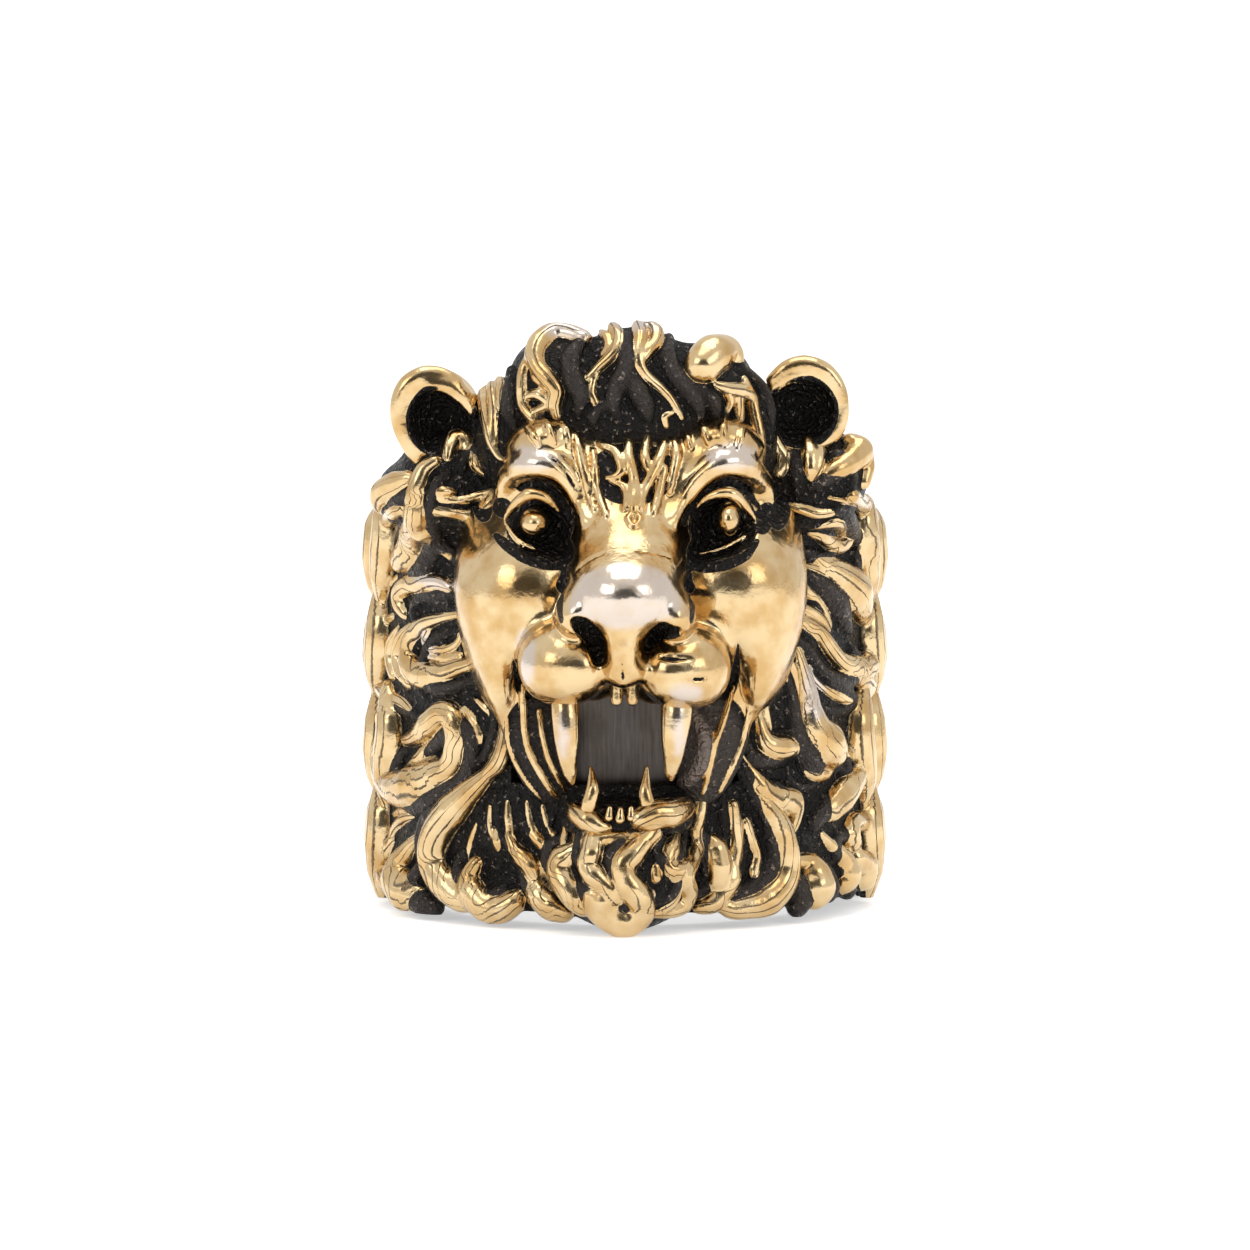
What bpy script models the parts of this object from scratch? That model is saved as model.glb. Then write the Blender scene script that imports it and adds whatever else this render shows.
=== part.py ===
"""Lion-head finger ring in antiqued brass: a plain sleeve with a lion's head and mane soldered round it.

The finger runs along +Z and the lion looks along -Y. Sizes below are in millimetres, and the finished meshes
are in metres. Places on the front are (across, height, depth). Across and height are as a front view from
VIEW_RISE above the horizontal shows them, with height counted from the tip of the beard, and depth runs along
+Y from the axis of the finger.
"""

import math
from collections import namedtuple

import bmesh
import bpy
from mathutils import Matrix, Vector

MM = 0.001

# Driving dimensions of the ring
BORE_RADIUS = 9.3
SLEEVE_WALL = 1.5
SEAM = 0.25
MANE_WALL = 1.2
FRONT_REACH = 19.57
BACK_REACH = 13.40
LOWER_EDGE = 0.9
SLEEVE_TOP_MIDDLE = 20.2
SLEEVE_TOP_SLOPE = 0.28
VIEW_RISE = math.radians(6.0)
BEARD_DEPTH = -13.0

# Worked out from the driving dimensions
SLEEVE_RADIUS = BORE_RADIUS + SLEEVE_WALL
SEAT_RADIUS = SLEEVE_RADIUS + SEAM
GROUND_RADIUS = SEAT_RADIUS + MANE_WALL
AXIS_FROM_MIDDLE = (FRONT_REACH - BACK_REACH) / 2

# How fine the castings are before and after they are thinned
VOXEL = 0.25
RELAX_PASSES = 2
LOCK_SIDES = 2
SPAN_STEPS = 3
LOCK_LIFT = 0.7
EDGE_SHARE = 0.05
FORM_AROUND = 28
SMALL_AROUND = 14
CUTTER_AROUND = 72
BEYOND_RING = 50.0
WELD_GAP = 0.001
CREASE_ANGLE = math.radians(50.0)
RIM_ANGLE = math.radians(40.0)

Form = namedtuple("Form", "place radii tilt", defaults=(0.0,))
Finish = namedtuple("Finish", "colour roughness")

GILT = Finish((0.80, 0.55, 0.22), 0.22)
OXIDE = Finish((0.10, 0.09, 0.085), 0.5)

# The masses of hair that the locks lie on, and how far outside a mass, as a share of it, they still do
HAIR_MASSES = {
    "crown": (
        Form((0.1, 26.3, -9.3), (6.5, 4.6, 4.0)),
        Form((-6.0, 24.8, -8.9), (1.6, 3.0, 2.7)),
        Form((6.2, 24.8, -8.9), (1.6, 3.0, 2.7)),
        Form((-3.3, 28.3, -9.6), (2.3, 2.1, 3.1)),
        Form((4.3, 28.0, -9.6), (2.0, 1.8, 3.0)),
        Form((0.3, 28.8, -9.6), (2.4, 2.2, 3.3)),
    ),
    "beard": (Form((0.0, 3.2, -12.3), (3.3, 3.1, 2.7)),),
    "mane_left": (Form((-9.0, 22.7, -7.8), (2.6, 2.7, 2.8)),),
    "mane_right": (Form((9.3, 22.9, -7.6), (2.6, 2.7, 2.8)),),
}
OUTLINE_SHARE = {"crown": 0.25, "beard": 0.1, "mane_left": 0.0, "mane_right": 0.0}

MASK_FORMS = (
    # Skull, forehead and the sides of the face
    Form((0.35, 18.4, -9.4), (8.2, 7.4, 4.5)),
    Form((0.4, 22.9, -10.6), (6.3, 2.9, 3.7)),
    Form((-6.8, 16.8, -9.4), (1.6, 5.2, 2.6), -6.0),
    Form((7.3, 16.9, -9.4), (1.6, 5.2, 2.6), 6.0),
    # Cheeks, and the jowls under them
    Form((-4.75, 17.2, -11.6), (3.5, 3.6, 3.5), -10.0),
    Form((5.35, 17.4, -11.6), (3.5, 3.6, 3.5), 10.0),
    Form((-6.45, 13.9, -11.4), (1.05, 3.2, 2.4), -10.0),
    Form((7.0, 14.1, -11.4), (1.1, 3.1, 2.4), 12.0),
    # Bridge of the nose
    Form((0.35, 21.0, -13.0), (2.1, 2.2, 1.9)),
    Form((0.25, 19.6, -14.0), (2.5, 2.2, 2.4)),
    Form((0.15, 18.4, -14.9), (2.85, 2.0, 2.7)),
    # Folds beside the mouth
    Form((-4.6, 10.4, -11.4), (1.9, 3.6, 1.5), 6.0),
    Form((4.7, 10.3, -11.4), (1.9, 3.6, 1.5), -6.0),
    # Upper lips, and the pads between them
    Form((-3.35, 13.7, -15.0), (2.0, 2.15, 2.8), 10.0),
    Form((3.3, 13.45, -15.0), (2.0, 2.1, 2.8), -10.0),
    Form((-2.0, 14.0, -15.4), (1.4, 1.4, 2.6)),
    Form((1.9, 13.8, -15.4), (1.4, 1.4, 2.6)),
    Form((0.0, 13.4, -15.8), (1.7, 0.75, 2.3)),
    # Tip of the nose, its wings and the ridge under it
    Form((0.0, 17.1, -16.4), (2.8, 2.3, 3.2)),
    Form((-2.45, 16.2, -16.4), (1.05, 1.3, 2.2), 12.0),
    Form((2.5, 16.1, -16.4), (1.05, 1.3, 2.2), -12.0),
    Form((-0.1, 14.7, -17.1), (1.0, 2.3, 1.8)),
)

# Strokes are points of (across, height, half width), and on the mask a fourth number, the depth
MASK_RIDGES = (
    ((-6.1, 22.1, 0.4, -12.6), (-5.7, 23.1, 0.62, -13.0), (-4.7, 23.65, 0.72, -13.4),
     (-3.6, 23.5, 0.7, -13.7), (-2.8, 22.8, 0.55, -14.0), (-2.25, 21.8, 0.4, -14.3),
     (-1.95, 20.8, 0.3, -14.6)),
    ((7.1, 21.7, 0.4, -12.4), (6.8, 22.7, 0.58, -12.8), (6.0, 23.5, 0.68, -13.2),
     (4.9, 23.7, 0.7, -13.5), (3.8, 23.0, 0.58, -13.9), (2.9, 21.9, 0.45, -14.2), (2.35, 20.8, 0.3, -14.6)),
    ((-6.0, 20.7, 0.2, -12.9), (-5.3, 20.0, 0.28, -13.6), (-4.4, 19.4, 0.3, -14.0), (-3.6, 19.1, 0.2, -13.9)),
    ((3.6, 19.2, 0.22, -13.8), (4.5, 19.3, 0.3, -14.0), (5.5, 19.7, 0.28, -13.7), (6.3, 20.4, 0.22, -12.9)),
)
EYE_HOLLOWS = (
    Form((-4.4, 20.5, -15.0), (2.05, 1.6, 2.7), 25.0),
    Form((-3.3, 19.4, -15.4), (1.2, 0.8, 2.6), 40.0),
    Form((5.0, 20.5, -15.0), (2.1, 1.65, 2.7), -25.0),
    Form((3.9, 19.35, -15.4), (1.25, 0.8, 2.6), -40.0),
)
NOSTRILS = (
    ((-2.4, 15.6, 0.4, -18.6), (-1.8, 15.3, 0.55, -18.7), (-1.4, 14.6, 0.5, -18.5), (-1.3, 13.8, 0.3, -18.2)),
    ((2.4, 15.2, 0.36, -18.6), (1.8, 15.3, 0.5, -18.7), (1.35, 14.9, 0.42, -18.5), (1.15, 14.4, 0.3, -18.2)),
)
MOUTH_HOLLOW = Form((-0.2, 8.2, -14.0), (2.9, 4.1, 6.0))

JAW_FORMS = (
    Form((-0.2, 5.4, -12.4), (3.0, 0.95, 2.8)),
    Form((-0.2, 4.9, -11.6), (2.9, 1.1, 2.4)),
)

EYES = {
    "eye_left": Form((-4.56, 20.7, -13.2), (0.66, 0.66, 1.2)),
    "eye_right": Form((5.15, 20.85, -13.2), (0.6, 0.8, 1.2)),
}
FANGS = {
    "upper_fang_left": ((-3.05, 12.4, 0.62, -15.3), (-3.0, 10.9, 0.62, -15.7), (-2.95, 9.9, 0.58, -15.8),
                        (-2.8, 8.6, 0.42, -15.5), (-2.62, 7.6, 0.08, -15.0)),
    "upper_fang_right": ((2.6, 12.4, 0.7, -15.3), (2.5, 10.9, 0.68, -15.7), (2.45, 9.9, 0.6, -15.8),
                         (2.35, 8.7, 0.42, -15.5), (2.28, 7.8, 0.08, -15.0)),
    "lower_fang_left": ((-1.9, 5.4, 0.42, -14.1), (-1.75, 6.6, 0.42, -14.4), (-1.62, 7.6, 0.3, -14.3),
                        (-1.7, 8.45, 0.07, -14.0)),
    "lower_fang_right": ((1.2, 5.4, 0.45, -14.1), (1.1, 6.6, 0.42, -14.4), (1.02, 7.6, 0.28, -14.3),
                         (1.1, 8.45, 0.08, -14.0)),
}
INCISORS = {
    "upper_incisors": ((-0.8, 12.3, 0.5, -15.4), (0.0, 12.2, 0.55, -15.6), (0.7, 12.3, 0.5, -15.4)),
    "lower_incisors": ((-0.95, 6.05, 0.32, -14.3), (-0.3, 6.0, 0.36, -14.5), (0.35, 6.0, 0.32, -14.3)),
}

# Each ear is a body, the cup that is hollowed out of it, and the stroke of its rolled rim
EARS = {
    "ear_left": (
        Form((-9.3, 25.9, -8.5), (2.1, 2.5, 1.5), -12.0),
        Form((-9.4, 26.0, -10.6), (1.45, 1.8, 1.9), -12.0),
        ((-10.5, 24.0, 0.3), (-11.1, 25.0, 0.36), (-11.4, 26.3, 0.42), (-11.1, 27.5, 0.5), (-10.2, 28.1, 0.5),
         (-9.2, 28.1, 0.5), (-8.4, 27.6, 0.5), (-7.8, 26.9, 0.45), (-7.5, 26.0, 0.3)),
    ),
    "ear_right": (
        Form((8.8, 26.2, -8.5), (2.1, 2.5, 1.5), 12.0),
        Form((8.9, 26.4, -10.6), (1.45, 1.8, 1.9), 12.0),
        ((10.0, 24.9, 0.35), (10.6, 25.6, 0.34), (10.8, 26.6, 0.36), (10.4, 27.7, 0.42), (9.5, 28.4, 0.48),
         (8.5, 28.5, 0.46), (7.6, 28.0, 0.36), (7.0, 27.2, 0.22)),
    ),
}
EAR_RIM_DEPTH = -9.3

CROWN_LOCKS = (
    ((-2.0, 30.1, 0.4), (-3.0, 30.3, 0.45), (-3.9, 29.9, 0.4), (-4.4, 29.1, 0.33), (-4.1, 28.4, 0.3),
     (-3.5, 27.8, 0.34), (-3.4, 27.1, 0.32), (-3.6, 26.4, 0.25)),
    ((-4.7, 29.0, 0.25), (-5.1, 28.2, 0.34), (-5.2, 27.2, 0.34), (-5.0, 26.3, 0.32), (-4.5, 25.6, 0.2)),
    ((-0.5, 30.8, 0.3), (-0.3, 30.1, 0.34), (-0.8, 29.3, 0.34), (-1.5, 28.6, 0.3), (-1.9, 27.9, 0.24),
     (-1.6, 27.0, 0.2)),
    ((1.3, 30.7, 0.4), (1.1, 29.9, 0.42), (0.8, 29.0, 0.34), (1.1, 28.2, 0.28), (1.9, 27.5, 0.26),
     (2.6, 26.7, 0.22)),
    ((3.6, 28.5, 0.6), (4.1, 29.1, 0.78), (4.9, 29.3, 0.75), (5.5, 28.9, 0.5)),
    ((-6.6, 27.7, 0.45), (-6.6, 27.0, 0.5), (-6.7, 25.9, 0.42), (-6.6, 24.8, 0.32), (-6.2, 24.0, 0.2)),
    ((5.2, 27.4, 0.3), (5.6, 26.6, 0.3), (5.6, 25.7, 0.25)),
    ((6.2, 27.8, 0.26), (6.5, 26.6, 0.3), (6.8, 25.2, 0.28), (7.0, 24.0, 0.2)),
)

BEARD_LOCKS = (
    ((-6.0, 10.2, 0.25), (-6.3, 9.1, 0.3), (-7.1, 8.0, 0.36), (-8.3, 6.9, 0.45), (-9.4, 5.6, 0.5),
     (-9.8, 4.3, 0.5), (-9.5, 3.0, 0.48), (-8.6, 2.0, 0.42)),
    ((-7.7, 3.5, 0.25), (-7.9, 2.6, 0.4), (-7.3, 1.7, 0.5), (-6.5, 1.3, 0.52), (-5.6, 1.6, 0.4)),
    ((-6.2, 6.2, 0.22), (-6.0, 5.0, 0.25), (-5.2, 3.9, 0.32), (-4.5, 3.0, 0.38), (-4.2, 2.0, 0.45),
     (-3.5, 1.4, 0.42)),
    ((-2.6, 5.6, 0.25), (-3.0, 4.6, 0.4), (-3.3, 3.4, 0.52), (-2.9, 2.2, 0.5), (-2.3, 1.3, 0.35)),
    ((-1.9, 4.8, 0.3), (-1.9, 3.8, 0.38), (-1.5, 2.9, 0.38), (-1.1, 2.1, 0.4), (-0.6, 1.4, 0.6),
     (-0.1, 0.65, 0.75)),
    ((1.4, 5.0, 0.34), (0.6, 4.4, 0.38), (0.0, 3.7, 0.36), (0.0, 2.8, 0.36), (0.3, 2.0, 0.4),
     (0.1, 0.9, 0.75)),
    ((-1.8, 4.7, 0.3), (-0.8, 4.9, 0.3), (0.4, 4.9, 0.3), (1.5, 5.1, 0.3)),
    ((3.8, 6.8, 0.25), (3.7, 5.4, 0.28), (3.3, 4.0, 0.34), (3.1, 3.0, 0.42), (3.0, 2.0, 0.42),
     (2.3, 1.2, 0.34)),
    ((2.6, 5.8, 0.24), (2.4, 4.7, 0.28), (2.2, 3.6, 0.26), (2.0, 2.6, 0.22)),
    ((4.6, 4.8, 0.25), (4.9, 3.8, 0.42), (4.8, 2.8, 0.46), (4.2, 1.9, 0.4), (3.6, 1.4, 0.3)),
    ((5.5, 6.5, 0.25), (5.7, 5.0, 0.3), (5.6, 3.6, 0.28), (5.2, 2.5, 0.3), (4.7, 1.8, 0.25)),
    ((6.1, 8.8, 0.2), (6.7, 7.6, 0.28), (7.5, 6.3, 0.4), (8.1, 4.8, 0.5), (8.2, 3.5, 0.56),
     (7.6, 2.3, 0.55), (6.5, 1.5, 0.45), (5.2, 1.4, 0.25)),
    ((7.0, 7.4, 0.2), (8.0, 7.0, 0.3), (8.7, 6.2, 0.34), (8.8, 5.3, 0.25)),
)

LEFT_LOCKS = (
    ((-11.0, 4.8, 0.3), (-11.7, 4.0, 0.6), (-11.8, 3.0, 0.75), (-11.4, 2.1, 0.8), (-10.7, 1.9, 0.5)),
    ((-11.1, 9.8, 0.25), (-10.2, 10.3, 0.4), (-9.3, 10.8, 0.52), (-8.6, 10.3, 0.5), (-8.6, 9.2, 0.45),
     (-9.1, 8.1, 0.5), (-10.2, 7.4, 0.62), (-11.3, 7.1, 0.7), (-12.2, 7.8, 0.6), (-12.6, 9.0, 0.5)),
    ((-7.6, 13.6, 0.3), (-8.8, 13.2, 0.4), (-10.0, 13.0, 0.52), (-11.0, 13.5, 0.55), (-11.3, 14.4, 0.5),
     (-10.8, 15.3, 0.42), (-9.8, 15.9, 0.36), (-8.5, 16.0, 0.25)),
    ((-11.0, 16.0, 0.3), (-12.0, 15.0, 0.5), (-12.1, 13.7, 0.5), (-11.6, 12.6, 0.4), (-10.7, 11.6, 0.2)),
    ((-8.6, 17.3, 0.22), (-9.8, 17.7, 0.32), (-10.9, 17.6, 0.36), (-11.5, 16.9, 0.36), (-11.4, 16.2, 0.25)),
    ((-9.8, 24.1, 0.25), (-10.5, 23.1, 0.36), (-10.8, 22.0, 0.42), (-10.6, 20.8, 0.5), (-10.9, 19.6, 0.52),
     (-11.5, 18.9, 0.4)),
    ((-10.4, 20.6, 0.45), (-9.6, 19.9, 0.36), (-8.8, 19.3, 0.28), (-8.3, 18.6, 0.2)),
    ((-10.2, 21.9, 0.22), (-9.4, 21.5, 0.28), (-8.4, 21.3, 0.28), (-7.4, 21.4, 0.22)),
    ((-11.3, 22.7, 0.35), (-12.2, 22.2, 0.42), (-12.6, 21.4, 0.42), (-12.6, 20.6, 0.35)),
    ((-8.9, 24.0, 0.2), (-8.7, 24.9, 0.3), (-8.1, 25.0, 0.3), (-7.6, 24.2, 0.26), (-7.1, 23.5, 0.22),
     (-6.6, 23.2, 0.18)),
)

RIGHT_LOCKS = (
    ((7.3, 25.5, 0.34), (7.7, 24.7, 0.36), (8.0, 23.9, 0.34), (7.9, 23.2, 0.22)),
    ((9.3, 24.7, 0.34), (9.4, 24.0, 0.38), (9.5, 23.3, 0.3), (9.3, 22.6, 0.2)),
    ((10.6, 23.4, 0.35, -7.6), (11.3, 24.0, 0.55, -6.9), (11.7, 24.5, 0.5, -6.4), (12.1, 23.8, 0.4, -5.8),
     (12.2, 22.8, 0.3, -5.2)),
    ((11.5, 22.0, 0.35), (12.2, 21.2, 0.48), (12.6, 20.0, 0.5), (12.8, 18.6, 0.45), (12.6, 17.3, 0.4)),
    ((8.2, 21.6, 0.22), (9.2, 21.4, 0.28), (10.2, 21.2, 0.26), (10.9, 20.9, 0.2)),
    ((9.0, 20.0, 0.2), (10.2, 19.8, 0.32), (11.2, 19.6, 0.36), (11.2, 20.4, 0.28)),
    ((8.9, 19.2, 0.2), (9.7, 18.7, 0.36), (10.6, 18.0, 0.5), (11.5, 17.2, 0.55), (11.9, 16.6, 0.35)),
    ((8.8, 16.6, 0.2), (9.6, 16.3, 0.26), (10.2, 15.7, 0.26), (10.4, 15.0, 0.2)),
    ((8.7, 15.6, 0.25), (9.5, 15.2, 0.38), (10.3, 14.3, 0.45), (11.1, 13.4, 0.55), (12.0, 13.4, 0.55),
     (12.4, 14.4, 0.45), (12.3, 15.3, 0.35)),
    ((9.6, 13.4, 0.2), (9.9, 12.6, 0.26), (10.8, 12.0, 0.3), (11.8, 11.9, 0.36)),
    ((8.5, 14.8, 0.22), (8.9, 13.6, 0.3), (9.2, 12.2, 0.34), (9.5, 10.9, 0.45), (9.9, 9.9, 0.62),
     (10.3, 9.2, 0.55)),
    ((10.4, 10.6, 0.22), (10.9, 10.1, 0.3), (10.9, 9.3, 0.36), (10.3, 8.6, 0.36), (9.5, 8.6, 0.34),
     (9.1, 9.2, 0.22)),
    ((7.2, 12.7, 0.2), (7.1, 11.3, 0.28), (7.2, 10.0, 0.45), (7.9, 9.5, 0.46), (8.6, 9.8, 0.3)),
    ((12.0, 9.9, 0.35), (12.1, 8.8, 0.45), (11.6, 7.8, 0.48), (10.9, 7.0, 0.46), (10.2, 6.4, 0.36)),
    ((11.6, 6.0, 0.4), (12.0, 5.2, 0.55), (12.1, 4.5, 0.4)),
    ((8.9, 3.6, 0.3), (9.6, 3.2, 0.55), (10.0, 2.5, 0.7), (9.6, 2.0, 0.5)),
    ((10.2, 4.6, 0.25), (11.0, 3.8, 0.48), (11.3, 2.9, 0.62), (11.0, 2.3, 0.5)),
    ((11.9, 3.9, 0.45), (12.5, 3.2, 0.62), (12.4, 2.6, 0.45)),
)

# Round the back the mane repeats one S-shaped lock: (along the band, height, half width) from its middle
BAND_LOCK = ((-1.1, 2.5, 0.2), (-0.2, 2.1, 0.52), (0.5, 1.1, 0.78), (0.45, -0.1, 0.85), (-0.3, -1.2, 0.72),
             (-1.0, -2.1, 0.45), (-0.9, -2.9, 0.12))
BAND_LIFT = 0.55
BAND_ROWS = 4
BAND_LOCK_ROOM = 4.1
BAND_LOCK_ARC = 13.0
BAND_START = 64.0
BAND_SWAY = 2.4
SWAY_BY_ROW = 2.1
SWAY_BY_COLUMN = 1.3
SIDE_EDGE = 92.0
FACE_EDGE = 30.0
BEARD_EDGE = 51.0
BEARD_TOP = 7.0
FOOT_DIP = 1.8
PANEL_STEP = 5.0
SEAT_CUT = 0.6
RIM_SOFTENING = 0.3

DRAWN_STROKES = {"lion_mask": MASK_RIDGES, "crown": CROWN_LOCKS, "beard": BEARD_LOCKS,
                 "mane_left": LEFT_LOCKS, "mane_right": RIGHT_LOCKS}

# What is taken out of each casting so that its neighbours fit beside it, besides the seat on the sleeve
FITTING = {
    "lion_mask": ("eye_hollow_0", "eye_hollow_1", "eye_hollow_2", "eye_hollow_3", "nostril_0", "nostril_1",
                  "mouth", "lower_jaw", "eye_left", "eye_right", "upper_fang_left", "upper_fang_right",
                  "upper_incisors"),
    "lower_jaw": ("lower_fang_left", "lower_fang_right", "lower_incisors"),
    "crown": ("lion_mask",),
    "ear_left": ("ear_left_cup", "lion_mask", "crown"),
    "ear_right": ("ear_right_cup", "lion_mask", "crown"),
    "beard": ("table", "mouth", "lion_mask", "lower_jaw"),
    "mane_left": ("table", "lion_mask", "crown", "ear_left", "beard"),
    "mane_right": ("table", "lion_mask", "crown", "ear_right", "beard"),
    "mane_back": ("table", "mane_left", "mane_right"),
}
DARK_PIECES = ("finger_sleeve",)

TRIANGLES = {"lion_mask": 2050, "lower_jaw": 280, "crown": 900, "beard": 950, "mane_left": 1050,
             "mane_right": 1050, "mane_back": 1600, "ear_left": 220, "ear_right": 220}


def seen(across, height, depth):
    """The point that the front view shows at this place, at this depth."""
    return Vector((across, depth, height - (depth - BEARD_DEPTH) * math.tan(VIEW_RISE)))


def round_band(angle, radius, height):
    """The point of the ring at an angle in degrees from the face, a radius and a true height."""
    turn = math.radians(angle)
    return Vector((radius * math.sin(turn), -radius * math.cos(turn), height))


def sleeve_top(angle, radius):
    """How high the slanting upper edge of the ring stands at an angle from the face."""
    return SLEEVE_TOP_MIDDLE + SLEEVE_TOP_SLOPE * radius * math.cos(math.radians(angle))


def front_of(form, across, height, outside):
    """Depth of a form's front where a place lies on it or this share outside it, or None farther off."""
    (x, h, depth), (wide, tall, deep) = form.place, form.radii
    left = 1 - ((across - x) / wide) ** 2 - ((height - h) / tall) ** 2
    return depth - deep * math.sqrt(max(left, EDGE_SHARE)) if left > -outside else None


def on_hair(across, height, half_width):
    """Where a lock of this half width lies: on the band, or on a mass of hair that stands in front of it."""
    radius = GROUND_RADIUS + LOCK_LIFT * half_width
    across = max(-radius, min(radius, across))
    depth = -math.sqrt(radius * radius - across * across)
    for name, masses in HAIR_MASSES.items():
        for mass in masses:
            front = front_of(mass, across, height, OUTLINE_SHARE[name])
            if front is not None:
                depth = min(depth, front - LOCK_LIFT * half_width)
    return seen(across, height, depth)


def smooth_path(points, radii):
    """Places and half widths along the curve that passes through all points of a stroke."""
    path = []
    ends = [points[0]] + list(points) + [points[-1]]
    for i in range(len(points) - 1):
        before, start, stop, after = ends[i:i + 4]
        for step in range(SPAN_STEPS):
            t = step / SPAN_STEPS
            bend = 2 * before - 5 * start + 4 * stop - after
            twist = 3 * start - before - 3 * stop + after
            place = 0.5 * (2 * start + (stop - before) * t + bend * t ** 2 + twist * t ** 3)
            path.append((place, radii[i] + (radii[i + 1] - radii[i]) * t))
    path.append((points[-1], radii[-1]))
    return path


def front_stroke(stroke):
    """Path of a stroke from the front view, lying on the hair or, with depths given, where they say."""
    radii = [point[2] for point in stroke]
    if len(stroke[0]) == 4:
        return smooth_path([seen(x, h, depth) for x, h, _, depth in stroke], radii)
    return smooth_path([on_hair(x, h, r) for x, h, r in stroke], radii)


def ear_stroke(stroke):
    """Path of an ear's rim, which stands free of the band."""
    return smooth_path([seen(x, h, EAR_RIM_DEPTH) for x, h, _ in stroke], [r for _, _, r in stroke])


def band_strokes(start, stop, side):
    """Paths of the band's locks between two angles from the face, on the right (1) or on the left (-1)."""
    paths = []
    for row in range(BAND_ROWS):
        angle, column = 180.0 - BAND_LOCK_ARC * (0.5 + 0.5 * (row % 2)), 0
        while angle >= start:
            if angle < stop:
                paths.append(band_stroke(angle, row, column, side))
            angle, column = angle - BAND_LOCK_ARC, column + 1
    return paths


def band_stroke(angle, row, column, side):
    """Path of one lock of the band, whose rows fill the height between its edges and sway to and fro."""
    low, high = max(0.0, lower_edge(angle)), sleeve_top(angle, GROUND_RADIUS)
    room = (high - low) / BAND_ROWS
    sway = BAND_SWAY * math.sin(SWAY_BY_ROW * row + SWAY_BY_COLUMN * column)
    points = []
    for along, up, half_width in BAND_LOCK:
        radius = GROUND_RADIUS + BAND_LIFT * half_width
        turn = angle + sway - math.degrees(along / radius)
        points.append(round_band(side * turn, radius, low + room * (row + 0.5 + up / BAND_LOCK_ROOM)))
    return smooth_path(points, [point[2] for point in BAND_LOCK])


def add_form(bm, form, grow=0.0, around=FORM_AROUND):
    """Adds an ellipsoid with this many segments around it, tilted in the front view."""
    wide, tall, deep = (radius + grow for radius in form.radii)
    turn = Matrix.Rotation(math.radians(form.tilt), 4, "Y")
    matrix = Matrix.Translation(seen(*form.place)) @ turn @ Matrix.Diagonal((wide, deep, tall, 1.0))
    bmesh.ops.create_uvsphere(bm, u_segments=around, v_segments=around // 2, radius=1.0, matrix=matrix)


def add_strokes(bm, paths, grow=0.0):
    """Adds round tapering tubes along paths."""
    data = bpy.data.curves.new("strokes", "CURVE")
    data.dimensions = "3D"
    data.bevel_depth = 1.0
    data.bevel_resolution = LOCK_SIDES
    data.use_fill_caps = True
    for path in paths:
        spline = data.splines.new("POLY")
        spline.points.add(len(path) - 1)
        for point, (place, half_width) in zip(spline.points, path):
            point.co = (*place, 1.0)
            point.radius = half_width + grow
    guide = link(bpy.data.objects.new("strokes", data))
    mesh = evaluated(guide)
    bm.from_mesh(mesh)
    bpy.data.meshes.remove(mesh)
    bpy.data.objects.remove(guide)


def lower_edge(angle):
    """How high the lower edge of the mane stands: it dips to the table behind, where it is ground flat."""
    behind = max(0.0, 180.0 - abs(angle % 360.0 - 180.0) - SIDE_EDGE) / (180.0 - SIDE_EDGE)
    return LOWER_EDGE - FOOT_DIP * behind


def add_panel(bm, start, stop, high, inner=SEAT_RADIUS - SEAT_CUT, outer=GROUND_RADIUS, grow=0.0):
    """Adds a stretch of curved wall between two angles, under the slanting upper edge or a level one."""
    steps = max(2, round((stop - start) / PANEL_STEP))
    whole = stop - start >= 360.0
    margin = math.degrees(grow / outer)
    sections = []
    for i in range(steps if whole else steps + 1):
        angle = start - margin + (stop - start + 2 * margin) * i / steps
        corners = []
        for radius in (inner - grow, outer + grow):
            top = sleeve_top(angle, radius) if high is None else high
            low = lower_edge(angle) if outer == GROUND_RADIUS else LOWER_EDGE
            corners.append((round_band(angle, radius, low - grow), round_band(angle, radius, top + grow)))
        (inner_low, inner_high), (outer_low, outer_high) = corners
        sections.append([bm.verts.new(place) for place in (inner_low, outer_low, outer_high, inner_high)])
    following = sections[1:] + sections[:1] if whole else sections[1:]
    for section, after in zip(sections, following):
        for corner in range(4):
            side = (corner + 1) % 4
            bm.faces.new((section[corner], after[corner], after[side], section[side]))
    if not whole:
        bm.faces.new(sections[0])
        bm.faces.new(reversed(sections[-1]))
    bmesh.ops.recalc_face_normals(bm, faces=bm.faces)


def link(obj):
    """Puts an object in the scene."""
    bpy.context.scene.collection.objects.link(obj)
    return obj


def evaluated(obj):
    """A new mesh of the object with its modifiers applied."""
    graph = bpy.context.evaluated_depsgraph_get()
    graph.update()
    return bpy.data.meshes.new_from_object(obj.evaluated_get(graph), depsgraph=graph)


def work_object(name, bm):
    """An object in millimetres from a bmesh, which is freed."""
    mesh = bpy.data.meshes.new(name)
    bm.to_mesh(mesh)
    bm.free()
    return link(bpy.data.objects.new(name, mesh))


def apply_all(obj):
    """Makes the modified shape the object's own mesh."""
    mesh = evaluated(obj)
    obj.modifiers.clear()
    obj.data = mesh


def fuse(obj, triangles):
    """Melts overlapping shapes into one skin, softens it and thins it to about this many triangles."""
    melt = obj.modifiers.new("melt", "REMESH")
    melt.mode = "VOXEL"
    melt.voxel_size = VOXEL
    soften = obj.modifiers.new("soften", "SMOOTH")
    soften.iterations = RELAX_PASSES
    apply_all(obj)
    thin = obj.modifiers.new("thin", "DECIMATE")
    thin.ratio = min(1.0, triangles / (2 * len(obj.data.polygons)))
    apply_all(obj)


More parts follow.
